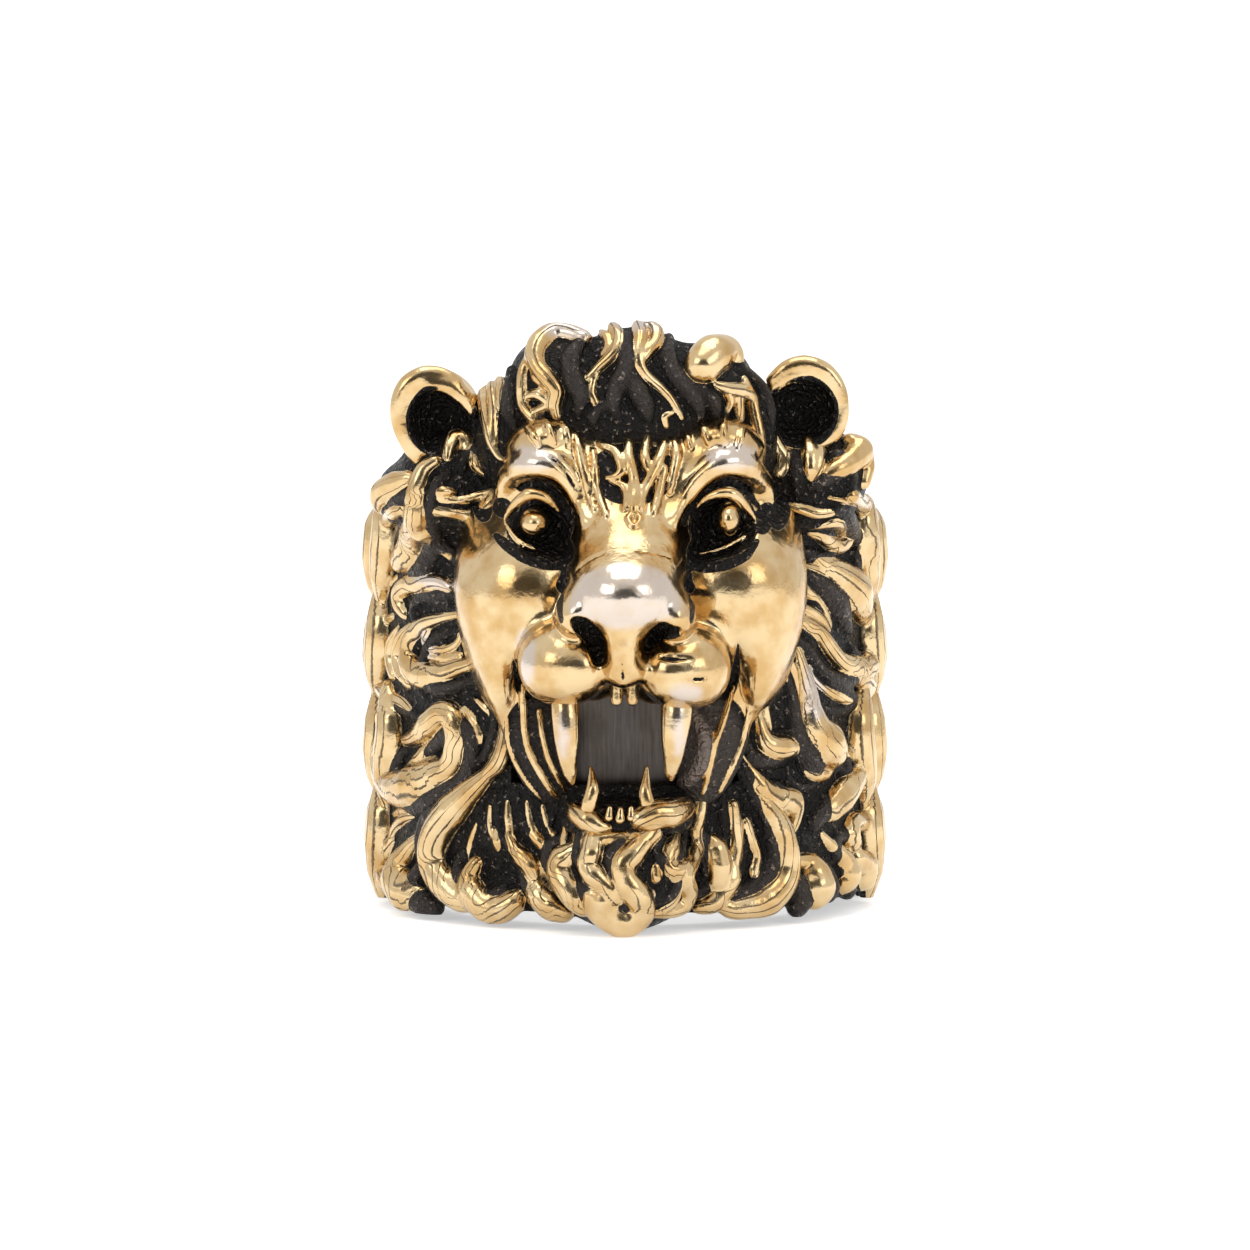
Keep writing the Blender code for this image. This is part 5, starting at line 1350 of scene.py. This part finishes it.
@dataclass
class LionMask(Casting):
    """The face: gilded all over, except in its hollows, creases and the fold beside the mouth."""

    node: str = "lion_mask"
    low: Corner = (-9.4, -20.4, 4.6)
    high: Corner = (10.0, -5.5, 26.6)
    voxel: float = 0.117
    tarnish: float = 0.8
    forms: tuple[tuple[Form, float], ...] = MASK_FORMS
    brows: tuple[Stroke, ...] = BROWS
    hollows: tuple[Form, ...] = (*EYE_HOLLOWS, MOUTH_HOLLOW)
    nostrils: tuple[Stroke, ...] = NOSTRILS
    strands: tuple[Stroke, ...] = FACE_STRANDS
    eyelids: tuple[Stroke, ...] = EYELIDS
    fold: Stroke = GREY_FOLD
    grooves: tuple[Stroke, ...] = FACE_GROOVES
    soot_forms: tuple[Form, ...] = (*MOUTH_SIDES, *FACE_SOOT_FORMS)
    soot_and_shade_strokes: tuple[Stroke, ...] = (*FACE_SOOT_AND_SHADE_STROKES, *NOSTRILS)
    grey_forms: tuple[Form, ...] = (*MOUTH_SIDES, UPPER_GUM)
    # How far the middles of strands stand above the ground, as shares of their half widths
    brow_lift: float = 0.1
    strand_lift: float = 0.5
    fold_lift: float = 0.1
    # Widths over which strands and hollows melt into the ground
    brow_blend: float = 0.5
    nostril_blend: float = 0.15
    strand_blend: float = 0.08
    lid_blend: float = 0.1
    fold_blend: float = 0.3
    groove_blend: float = 0.05
    # Distances over which the gold sets in: beside the soot, up out of hollows and grooves, and on strands
    soot_edge: Span = (-0.1, 0.15)
    hollow_edge: Span = (-0.35, -0.12)
    groove_edge: Span = (-0.14, -0.03)
    strand_edge: Span = (0.03, 0.1)
    # Distances over which bare grey metal ends on the fold and in the mouth, and how much of it shows on the
    # left and right side of the mouth and on the gum
    fold_edge: Span = (0.0, 0.15)
    mouth_edge: Span = (-0.6, 0.0)
    bareness: tuple[float, ...] = (0.08, 0.3, 0.4)
    whole: Array = field(init=False)

    def sculpt(self) -> None:
        """Models the face."""
        clay = self.clay
        for form, blend in self.forms:
            clay.add(form, blend)
        clay.keep_ground()
        for brow in self.brows:
            clay.add_strand(clay.lay(brow, self.brow_lift), self.brow_blend)
        self.whole = clay.field.copy()
        for hollow in self.hollows:
            clay.carve(hollow)
        for nostril in self.nostrils:
            clay.carve_strand(clay.lay(nostril, lift=0.0), self.nostril_blend)
        clay.keep_ground()
        for strand in self.strands:
            clay.add_strand(clay.lay(strand, self.strand_lift), self.strand_blend)
        for lid in self.eyelids:
            clay.add_strand(strand_in_depth(lid), self.lid_blend)
        clay.add_strand(clay.lay(self.fold, self.fold_lift), self.fold_blend)
        for groove in self.grooves:
            clay.carve_strand(clay.lay(groove, lift=0.0), self.groove_blend)
        clay.bore()

    def gilding(self) -> Array:
        """Gold on the open face and on the fine strands in its hollows.

        Returns:
            A share of gold for each corner.
        """
        soot = np.full(len(self.corners), REACH)
        for form in self.soot_forms:
            soot = np.minimum(soot, ellipsoid_distance(*self.corners.T, form))
        # The soot strokes include the painted shade between the cheeks and the muzzle pads
        for stroke in self.soot_and_shade_strokes:
            soot = np.minimum(soot, strand_distance(self.corners, self.clay.lay(stroke, lift=0.0)))
        rise = self.clay.sample(self.corners, self.clay.ground)
        depth = self.clay.sample(self.corners, self.whole)
        open_face = smooth_step(*self.soot_edge, soot) * smooth_step(*self.hollow_edge, depth)
        uncut = open_face * smooth_step(*self.groove_edge, rise)
        strands = smooth_step(*self.strand_edge, rise) * (1 - self.on_grey_fold())
        return np.maximum(uncut, strands)

    def on_grey_fold(self) -> Array:
        """1 on the smooth grey fold beside the mouth and 0 elsewhere, for each corner."""
        fold = self.clay.lay(self.fold, self.fold_lift)
        return 1 - smooth_step(*self.fold_edge, strand_distance(self.corners, fold))

    def bare_metal_and_painted_sheen(self) -> Array:
        """Bare grey metal on the fold, and a little of it all over the sides of the mouth and the upper gum.

        Returns:
            A share of bare metal for each corner.
        """
        share = self.on_grey_fold()
        for form, bareness in zip(self.grey_forms, self.bareness):
            inside = 1 - smooth_step(*self.mouth_edge, ellipsoid_distance(*self.corners.T, form))
            share = np.maximum(share, bareness * inside)
        return share


@dataclass
class Ear(Casting):
    """A cupped ear with a rolled rim."""

    voxel: float = 0.09
    body: Form = LEFT_EAR
    cup: Form = LEFT_EAR_CUP
    rims: tuple[Stroke, ...] = LEFT_EAR_RIMS
    rim_depth: float = -9.5
    room: float = 3.6
    cup_blend: float = 0.35
    rim_blend: float = 0.4
    # Distances over which the gold sets in, outside the cup and on the rim
    gilt_edge: Span = (0.1, 0.25)

    def __post_init__(self) -> None:
        """Sets out a block of clay round the ear's body."""
        middle = seen(*self.body.place)
        self.low, self.high = tuple(middle - self.room), tuple(middle + self.room)
        super().__post_init__()

    def sculpt(self) -> None:
        """Models the ear's body, hollows it and rolls the rim round the hollow."""
        self.clay.add(self.body)
        self.clay.carve(self.cup, self.cup_blend)
        self.clay.keep_ground()
        for rim in self.rims:
            stroke = tuple((*point, self.rim_depth) for point in rim)
            self.clay.add_strand(strand_in_depth(stroke), self.rim_blend)
        self.clay.bore()

    def gilding(self) -> Array:
        """Gold on the rim and the back, black in the cup.

        Returns:
            A share of gold for each corner.
        """
        outside = smooth_step(*self.gilt_edge, ellipsoid_distance(*self.corners.T, self.cup))
        rim = smooth_step(*self.gilt_edge, self.clay.sample(self.corners, self.clay.ground))
        return np.maximum(outside, rim)


@dataclass
class Teeth(Casting):
    """A fang, or a row of short teeth."""

    voxel: float = 0.07
    strokes: tuple[Stroke, ...] = ()
    blend: float = 0.1
    room: float = 1.4

    def __post_init__(self) -> None:
        """Sets out a block of clay round the teeth."""
        places = np.array([seen(x, h, depth) for stroke in self.strokes for x, h, _, depth in stroke])
        self.low, self.high = tuple(places.min(0) - self.room), tuple(places.max(0) + self.room)
        super().__post_init__()

    def sculpt(self) -> None:
        """Models each tooth as a tapering strand."""
        for stroke in self.strokes:
            self.clay.add_strand(strand_in_depth(stroke), self.blend)


@dataclass
class Eye(Casting):
    """A bead that stands in the eye's hollow."""

    voxel: float = 0.07
    bead: Form = LEFT_BEAD
    room: float = 1.6

    def __post_init__(self) -> None:
        """Sets out a block of clay round the bead."""
        middle = seen(*self.bead.place)
        self.low, self.high = tuple(middle - self.room), tuple(middle + self.room)
        super().__post_init__()

    def sculpt(self) -> None:
        """Models the bead."""
        self.clay.add(self.bead)


def linear(code: str) -> tuple[float, float, float, float]:
    """Linear colour of an sRGB hex code.

    Args:
        code: Six hex digits after a hash sign.

    Returns:
        Red, green, blue and full alpha.
    """
    shares = [int(code[i:i + 2], 16) / 255 for i in (1, 3, 5)]
    return (*(s / 12.92 if s <= 0.04045 else ((s + 0.055) / 1.055) ** 2.4 for s in shares), 1.0)


# What makes a Mix node mix its inputs 6 and 7, which are colours. Its inputs 2 and 3 are numbers
COLOUR_MIX = {"data_type": "RGBA", "out": 2}


def add_node(tree: bpy.types.NodeTree, kind: str, inputs: dict | tuple = (), out: int | str = 0,
             **settings: object) -> bpy.types.NodeSocket | None:
    """Adds a node with its settings and links.

    Args:
        tree: The material's or world's nodes.
        kind: Blender's name for the node.
        inputs: Values or other nodes' outputs, in order, or by the name or number of the input.
        out: Name or number of the output that is wanted.
        **settings: Properties of the node.

    Returns:
        That output, or None where the node has none.
    """
    node = tree.nodes.new(kind)
    for name, value in settings.items():
        setattr(node, name, value)
    for key, value in inputs.items() if isinstance(inputs, dict) else enumerate(inputs):
        if isinstance(value, bpy.types.NodeSocket):
            tree.links.new(value, node.inputs[key])
        else:
            node.inputs[key].default_value = value
    return node.outputs[out] if len(node.outputs) else None


def empty_material(name: str) -> bpy.types.Material:
    """A material without nodes.

    Args:
        name: What the material is and how its surface was made.

    Returns:
        The material.
    """
    material = bpy.data.materials.new(name)
    material.use_nodes = True
    material.node_tree.nodes.clear()
    return material


@dataclass(frozen=True)
class AntiquedBrass:
    """Cast brass, gilded, blackened all over and rubbed bright again on its high spots.

    Sizes of patches, grains, waves and edges are in millimetres. Levels are where a noise or a mark starts to
    tell, and where it tells in full. The soot's real grit is too fine to show, and is drawn as coarse as it
    needs to be.
    """

    # Gilding gives a warm mirror, redder in patches, and pale grey where it is rubbed through; some of that
    # grey is painted reflection
    gold: str = "#D3BA8F"
    deep_gold: str = "#BE9B67"
    tone_patch: float = 1.6
    tone_levels: Span = (0.35, 0.7)
    # Pale grey of rubbed-through gilding, also used as painted pale reflection
    rubbed: str = "#CDC3BC"
    rubbed_patch: float = 0.7
    rubbed_levels: Span = (0.6, 1.5)
    rubbed_most: float = 0.8
    polish_patch: float = 0.5
    polish_roughness: Span = (0.1, 0.26)
    casting_wave: float = 1.5
    casting_height: float = 0.08
    # Soot gives a dull grainy black; where the tip of a grain is bare it shows a lighter metal grey, painted
    # there as glints
    soot: str = "#080503"
    soot_specular: float = 0.22
    soot_levels: Span = (0.4, 0.65)
    soot_roughness: Span = (0.5, 0.22)
    grain: float = 0.24
    grain_height: float = 0.35
    # Lighter bare-metal grey on the tips of the grains: painted glints
    glint_grey: str = "#7C7168"
    glint_levels: Span = (0.6, 0.69)
    # Grey of the bare fold beside the mouth, also painted on the black locks' ridges as sheen
    fold_and_sheen_grey: str = "#7A706A"
    # Polishing leaves a ragged edge to the gold, and doesn't reach into the hollows
    ragged_edge: float = 0.45
    ragged_swing: float = 0.5
    gilt_levels: Span = (0.42, 0.62)
    hollow_levels: Span = (0.72, 0.6)
    # Lines engraved along the locks keep their soot, and come and go: the least and most of half their width,
    # in parts of their spacing, the length over which they fade, and their depth
    line_shares: Span = (0.02, 0.17)
    line_fade: float = 2.4
    line_levels: Span = (0.38, 0.62)
    line_depth: float = 0.06
    line_soot: float = 0.75
    detail: float = 4.0

    def material(self) -> bpy.types.Material:
        """Builds the finish.

        Returns:
            The material, which reads the marks on the castings' meshes.
        """
        material = empty_material("gilded_blackened_cast_brass")
        add = partial(add_node, material.node_tree)
        local = add("ShaderNodeTexCoord", out="Object")
        place = add("ShaderNodeVectorMath", (local, (1 / MM,) * 3), operation="MULTIPLY")
        mark = {key: add("ShaderNodeAttribute", out="Fac", attribute_name=key.value) for key in Mark}
        noise = {}
        for size in (self.tone_patch, self.rubbed_patch, self.polish_patch, self.casting_wave, self.grain,
                     self.ragged_edge, self.line_fade):
            noise[size] = add("ShaderNodeTexNoise",
                              {"Vector": place, "Scale": 1 / size, "Detail": self.detail})

        # Engraved lines lie where the count of lines is at a half
        turn = add("ShaderNodeMath", (mark[Mark.COMB],), operation="FRACT")
        offset = add("ShaderNodeMath", (turn, 0.5), operation="SUBTRACT")
        aside = add("ShaderNodeMath", (offset,), operation="ABSOLUTE")
        half_width = add("ShaderNodeMapRange", (noise[self.line_fade], *self.line_levels, *self.line_shares))
        line = add("ShaderNodeMapRange", (aside, half_width, 0.0), interpolation_type="SMOOTHSTEP")

        # Where there is gold
        swing = self.ragged_swing
        edge = add("ShaderNodeMath", (noise[self.ragged_edge], swing, -swing / 2), operation="MULTIPLY_ADD")
        ragged = add("ShaderNodeMath", (mark[Mark.GILT], edge), operation="ADD")
        gilded = add("ShaderNodeMapRange", (ragged, *self.gilt_levels), interpolation_type="SMOOTHSTEP")
        reached = add("ShaderNodeMapRange", (mark[Mark.HOLLOW], *self.hollow_levels),
                      interpolation_type="SMOOTHSTEP")
        uncut = add("ShaderNodeMath", (line, -self.line_soot, 1.0), operation="MULTIPLY_ADD")
        bright = add("ShaderNodeMath", (gilded, reached), operation="MULTIPLY")
        gold = add("ShaderNodeMath", (bright, uncut), operation="MULTIPLY")

        # Colours of the gold and of the black
        patch = add("ShaderNodeMapRange", (noise[self.tone_patch], *self.tone_levels),
                    interpolation_type="SMOOTHSTEP")
        tone = add("ShaderNodeMix", {0: patch, 6: linear(self.gold), 7: linear(self.deep_gold)}, **COLOUR_MIX)
        # Rubbed-through gilding, partly real wear and partly painted pale reflection
        rubbing_and_reflection = add("ShaderNodeMath", (mark[Mark.WORN], noise[self.rubbed_patch]), operation="ADD")
        through = add("ShaderNodeMapRange", (rubbing_and_reflection, *self.rubbed_levels, 0.0, self.rubbed_most))
        metal = add("ShaderNodeMix", {0: through, 6: tone, 7: linear(self.rubbed)}, **COLOUR_MIX)
        # Painted glints: lighter bare-metal grey on the tips of the soot's grains
        tip = add("ShaderNodeMapRange", (noise[self.grain], *self.glint_levels),
                  interpolation_type="SMOOTHSTEP")
        black = add("ShaderNodeMix", {0: tip, 6: linear(self.soot), 7: linear(self.glint_grey)}, **COLOUR_MIX)
        # Bare grey metal on the mouth's fold, and painted sheen on the ridges of the black locks
        dark = add("ShaderNodeMix", {0: mark[Mark.FOLD], 6: black, 7: linear(self.fold_and_sheen_grey)}, **COLOUR_MIX)
        colour = add("ShaderNodeMix", {0: gold, 6: dark, 7: metal}, **COLOUR_MIX)

        # Bare metal, including the painted sheen and the painted glints, and its polish
        bare = add("ShaderNodeMath", (gold, mark[Mark.FOLD]), operation="MAXIMUM")
        metallic = add("ShaderNodeMath", (bare, tip), operation="MAXIMUM")
        sooty = add("ShaderNodeMapRange", (noise[self.grain], *self.soot_levels, *self.soot_roughness))
        polished = add("ShaderNodeMapRange", (noise[self.polish_patch], 0.0, 1.0, *self.polish_roughness))
        rough = add("ShaderNodeMix", {0: gold, 2: sooty, 3: polished}, data_type="FLOAT")

        # Grains in the soot, the engraved lines, and the slow waves of the casting
        grit = add("ShaderNodeMath", (noise[self.grain], 0.5), operation="SUBTRACT")
        ungilded = add("ShaderNodeMath", (1.0, gold), operation="SUBTRACT")
        grains = add("ShaderNodeMath", (grit, ungilded), operation="MULTIPLY")
        raised = add("ShaderNodeMath", (grains, self.grain_height), operation="MULTIPLY")
        relief = add("ShaderNodeMath", (line, -self.line_depth, raised), operation="MULTIPLY_ADD")
        waves = add("ShaderNodeBump", {"Height": noise[self.casting_wave], "Strength": 1.0,
                                       "Distance": self.casting_height * MM})
        normal = add("ShaderNodeBump", {"Height": relief, "Strength": 1.0, "Distance": MM, "Normal": waves})
        surface = add("ShaderNodeBsdfPrincipled",
                      {"Base Color": colour, "Metallic": metallic, "Roughness": rough, "Normal": normal,
                       "Specular IOR Level": self.soot_specular})
        add("ShaderNodeOutputMaterial", {"Surface": surface})
        return material


@dataclass(frozen=True)
class BrushedBrass:
    """Brass tube, brushed along the finger and darkened: a dull grey-brown sheen with fine upright streaks.

    Sizes of streaks and stains are in millimetres.
    """

    light: str = "#625C58"
    dark: str = "#4A4542"
    tone_levels: Span = (0.75, 1.25)
    streak: float = 0.14
    streak_length: float = 2.2
    streak_height: float = 0.012
    stain: float = 1.8
    roughness: Span = (0.3, 0.5)
    detail: float = 3.0

    def material(self) -> bpy.types.Material:
        """Builds the finish.

        Returns:
            The material.
        """
        material = empty_material("brushed_darkened_brass")
        add = partial(add_node, material.node_tree)
        local = add("ShaderNodeTexCoord", out="Object")
        per_streak = (1 / (self.streak * MM), 1 / (self.streak * MM), 1 / (self.streak_length * MM))
        along = add("ShaderNodeVectorMath", (local, per_streak), operation="MULTIPLY")
        brushing = add("ShaderNodeTexNoise", {"Vector": along, "Scale": 1.0, "Detail": self.detail})
        stains = add("ShaderNodeTexNoise",
                     {"Vector": local, "Scale": 1 / (self.stain * MM), "Detail": self.detail})
        both = add("ShaderNodeMath", (brushing, stains), operation="ADD")
        share = add("ShaderNodeMapRange", (both, *self.tone_levels))
        colour = add("ShaderNodeMix", {0: share, 6: linear(self.dark), 7: linear(self.light)}, **COLOUR_MIX)
        rough = add("ShaderNodeMapRange", (stains, 0.0, 1.0, *self.roughness))
        normal = add("ShaderNodeBump",
                     {"Height": brushing, "Strength": 1.0, "Distance": self.streak_height * MM})
        surface = add("ShaderNodeBsdfPrincipled",
                      {"Base Color": colour, "Metallic": 1.0, "Roughness": rough, "Normal": normal})
        add("ShaderNodeOutputMaterial", {"Surface": surface})
        return material


@dataclass
class FingerSleeve:
    """The plain sleeve for the finger, turned with softened rims under a slanting cut."""

    node: str = "finger_sleeve"
    softening: float = 0.3
    around: int = 240
    sharp: float = 35.0

    def build(self, axis: Vector) -> bpy.types.Object:
        """Makes the sleeve's mesh by turning its profile.

        Args:
            axis: Foot of the finger's axis in metres.

        Returns:
            The bare object.
        """
        soft = self.softening
        # Corners of the wall's section: radius, 1 on the upper edge or 0 on the lower, and shift from it
        inner = ((BORE_RADIUS + soft, 0, 0), (BORE_RADIUS, 0, soft), (BORE_RADIUS, 1, -soft),
                 (BORE_RADIUS + soft, 1, 0))
        outer = ((SLEEVE_RADIUS - soft, 1, 0), (SLEEVE_RADIUS, 1, -soft), (SLEEVE_RADIUS, 0, soft),
                 (SLEEVE_RADIUS - soft, 0, 0))
        profile = inner + outer
        sides = len(profile)
        corners, faces = [], []
        for i in range(self.around):
            angle = 360.0 * i / self.around
            turn = math.radians(angle)
            after = (i + 1) % self.around
            for j, (radius, upper, shift) in enumerate(profile):
                edge = float(sleeve_top(angle, radius)) if upper else LOWER_EDGE
                corners.append((radius * math.sin(turn), -radius * math.cos(turn), edge + shift))
                k = (j + 1) % sides
                faces.append((i * sides + j, i * sides + k, after * sides + k, after * sides + j))
        obj = place_mesh(self.node, np.array(corners), np.array(faces), axis)
        obj.data.set_sharp_from_angle(angle=math.radians(self.sharp))
        return obj

    def dress(self, obj: bpy.types.Object, finish: bpy.types.Material) -> None:
        """Gives the sleeve its finish, and lets it stand for its CAD node."""
        obj.data.materials.append(finish)
        stand_for(obj, self.node, Slot.OXIDISED)


@dataclass
class Studio:
    """A white tent with softboxes, a pale floor and the photograph's camera.

    Lengths are in metres, but for the camera's sensor in millimetres.
    """

    target: Vector
    white: str = "#FFFFFF"
    tent_level: float = 0.9
    # How near to the camera's own direction the tent opens, as cosines, and how dark it is there
    opening: Span = (0.72, 0.94)
    opening_level: float = 0.1
    # Name, place, size and power of each softbox
    boxes: tuple[tuple[str, Corner, float, float], ...] = (
        ("left_box", (-0.25, -0.28, 0.2), 0.18, 0.19),
        ("right_box", (0.27, -0.26, 0.18), 0.18, 0.17),
        ("top_box", (0.0, -0.02, 0.4), 0.3, 0.6),
    )
    floor_colour: str = "#F4F4F4"
    floor_roughness: float = 0.9
    floor_half: float = 3.0
    floor_glow: float = 0.5
    # The camera's distance, the width of what it sees there, and the nearest thing that it sees
    view_distance: float = 0.8
    view_frame: float = 0.0625
    view_nearest: float = 0.01
    sensor: float = 36.0

    def toward_camera(self) -> Vector:
        """Direction from the ring to the camera."""
        return Vector((0.0, -math.cos(VIEW_RISE), math.sin(VIEW_RISE)))

    def shown(self, tree: bpy.types.NodeTree) -> bpy.types.NodeSocket:
        """Tells what the camera sees, itself or in a reflection, from what only lights.

        Args:
            tree: Nodes of the floor or the world.

        Returns:
            1 for a camera, glossy or transmission ray, and 0 for the others.
        """
        add = partial(add_node, tree)
        kinds = ("Is Camera Ray", "Is Glossy Ray", "Is Transmission Ray")
        seen_ray, glossy, transmitted = [add("ShaderNodeLightPath", out=kind) for kind in kinds]
        mirrored = add("ShaderNodeMath", (glossy, transmitted), operation="MAXIMUM")
        return add("ShaderNodeMath", (seen_ray, mirrored), operation="MAXIMUM")

    def hang_tent(self) -> None:
        """Makes the world a white tent, dark round the camera's opening in all but the camera's own rays."""
        world = bpy.data.worlds.new("tent")
        bpy.context.scene.world = world
        world.use_nodes = True
        tree = world.node_tree
        tree.nodes.clear()
        add = partial(add_node, tree)
        direction = add("ShaderNodeTexCoord", out="Generated")
        nearness = add("ShaderNodeVectorMath", (direction, tuple(self.toward_camera())), out="Value",
                       operation="DOT_PRODUCT")
        cloth = add("ShaderNodeMapRange", (nearness, *self.opening, 1.0, self.opening_level),
                    interpolation_type="SMOOTHSTEP")
        level = add("ShaderNodeMix", {0: self.shown(tree), 2: self.tent_level, 3: 1.0}, data_type="FLOAT")
        tent = add("ShaderNodeMath", (cloth, level), operation="MULTIPLY")
        camera_ray = add("ShaderNodeLightPath", out="Is Camera Ray")
        strength = add("ShaderNodeMix", {0: camera_ray, 2: tent, 3: 1.0}, data_type="FLOAT")
        background = add("ShaderNodeBackground", {"Color": linear(self.white), "Strength": strength})
        add("ShaderNodeOutputWorld", {"Surface": background})

    def hang_boxes(self) -> None:
        """Hangs the softboxes, turned to the ring."""
        for name, place, size, watts in self.boxes:
            data = bpy.data.lights.new(name, "AREA")
            data.size = size
            data.energy = watts
            lamp = bpy.data.objects.new(name, data)
            lamp.location = place
            lamp.rotation_euler = (self.target - Vector(place)).to_track_quat("-Z", "Y").to_euler()
            bpy.context.scene.collection.objects.link(lamp)

    def lay_floor(self) -> None:
        """Lays the floor, white to the eye, which keeps the ring's shadow."""
        half = self.floor_half
        mesh = bpy.data.meshes.new("floor")
        corners = [(-half, -half, 0), (half, -half, 0), (half, half, 0), (-half, half, 0)]
        mesh.from_pydata(corners, [], [(0, 1, 2, 3)])
        floor = bpy.data.objects.new("floor", mesh)
        bpy.context.scene.collection.objects.link(floor)
        material = empty_material("matt_paper_floor")
        add = partial(add_node, material.node_tree)
        shown = self.shown(material.node_tree)
        glow = add("ShaderNodeMath", (shown, self.floor_glow), operation="MULTIPLY")
        surface = add("ShaderNodeBsdfPrincipled",
                      {"Base Color": linear(self.floor_colour), "Roughness": self.floor_roughness,
                       "Emission Color": linear(self.white), "Emission Strength": glow})
        add("ShaderNodeOutputMaterial", {"Surface": surface})
        mesh.materials.append(material)

    def place_camera(self) -> None:
        """Places the photograph's camera: far off, and a little above the face."""
        data = bpy.data.cameras.new("view")
        data.sensor_width = self.sensor
        data.lens = self.sensor * self.view_distance / self.view_frame
        data.clip_start = self.view_nearest
        camera = bpy.data.objects.new("view", data)
        camera.location = self.target + self.toward_camera() * self.view_distance
        camera.rotation_euler = (-self.toward_camera()).to_track_quat("-Z", "Y").to_euler()
        bpy.context.scene.collection.objects.link(camera)
        bpy.context.scene.camera = camera


def all_castings() -> list[Casting]:
    """Sets out the castings of the ring.

    Returns:
        The castings, not yet sculpted.
    """
    hair = [Crown(), Beard(), LeftMane(), RightMane(), BackMane(), LowerJaw()]
    ears = [Ear("ear_left"), Ear("ear_right", body=RIGHT_EAR, cup=RIGHT_EAR_CUP, rims=RIGHT_EAR_RIMS)]
    fangs = [Teeth(node, strokes=(stroke,)) for node, stroke in FANGS.items()]
    rows = [Teeth(node, strokes=strokes) for node, strokes in INCISORS.items()]
    eyes = [Eye("eye_left"), Eye("eye_right", bead=RIGHT_BEAD)]
    return [LionMask(), *hair, *ears, *fangs, *rows, *eyes]


def main() -> None:
    """Builds the castings and the sleeve, then the studio round them."""
    logging.basicConfig(level=logging.INFO, format="%(message)s")
    bpy.context.scene.view_settings.view_transform = "Standard"
    low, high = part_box("finger_sleeve")
    axis = Vector((0.0, (low.y + high.y) / 2, 0.0))
    castings = all_castings()
    hollows = Hollows()
    for casting in castings:
        casting.sculpt()
        hollows.fill(casting.clay)
    hollows.blur()
    antiqued = AntiquedBrass().material()
    pieces = []
    for casting in castings:
        pieces.append(casting.build(axis))
        casting.dress(pieces[-1], hollows, antiqued)
    sleeve = FingerSleeve()
    pieces.append(sleeve.build(axis))
    sleeve.dress(pieces[-1], BrushedBrass().material())
    for piece in pieces:
        LOG.info("%s: %d faces", piece.name, len(piece.data.polygons))
    studio = Studio(axis + Vector(seen(0.0, VIEW_MIDDLE, BEARD_DEPTH)) * MM)
    studio.hang_tent()
    studio.hang_boxes()
    studio.lay_floor()
    studio.place_camera()


if __name__ == "__main__":
    main()
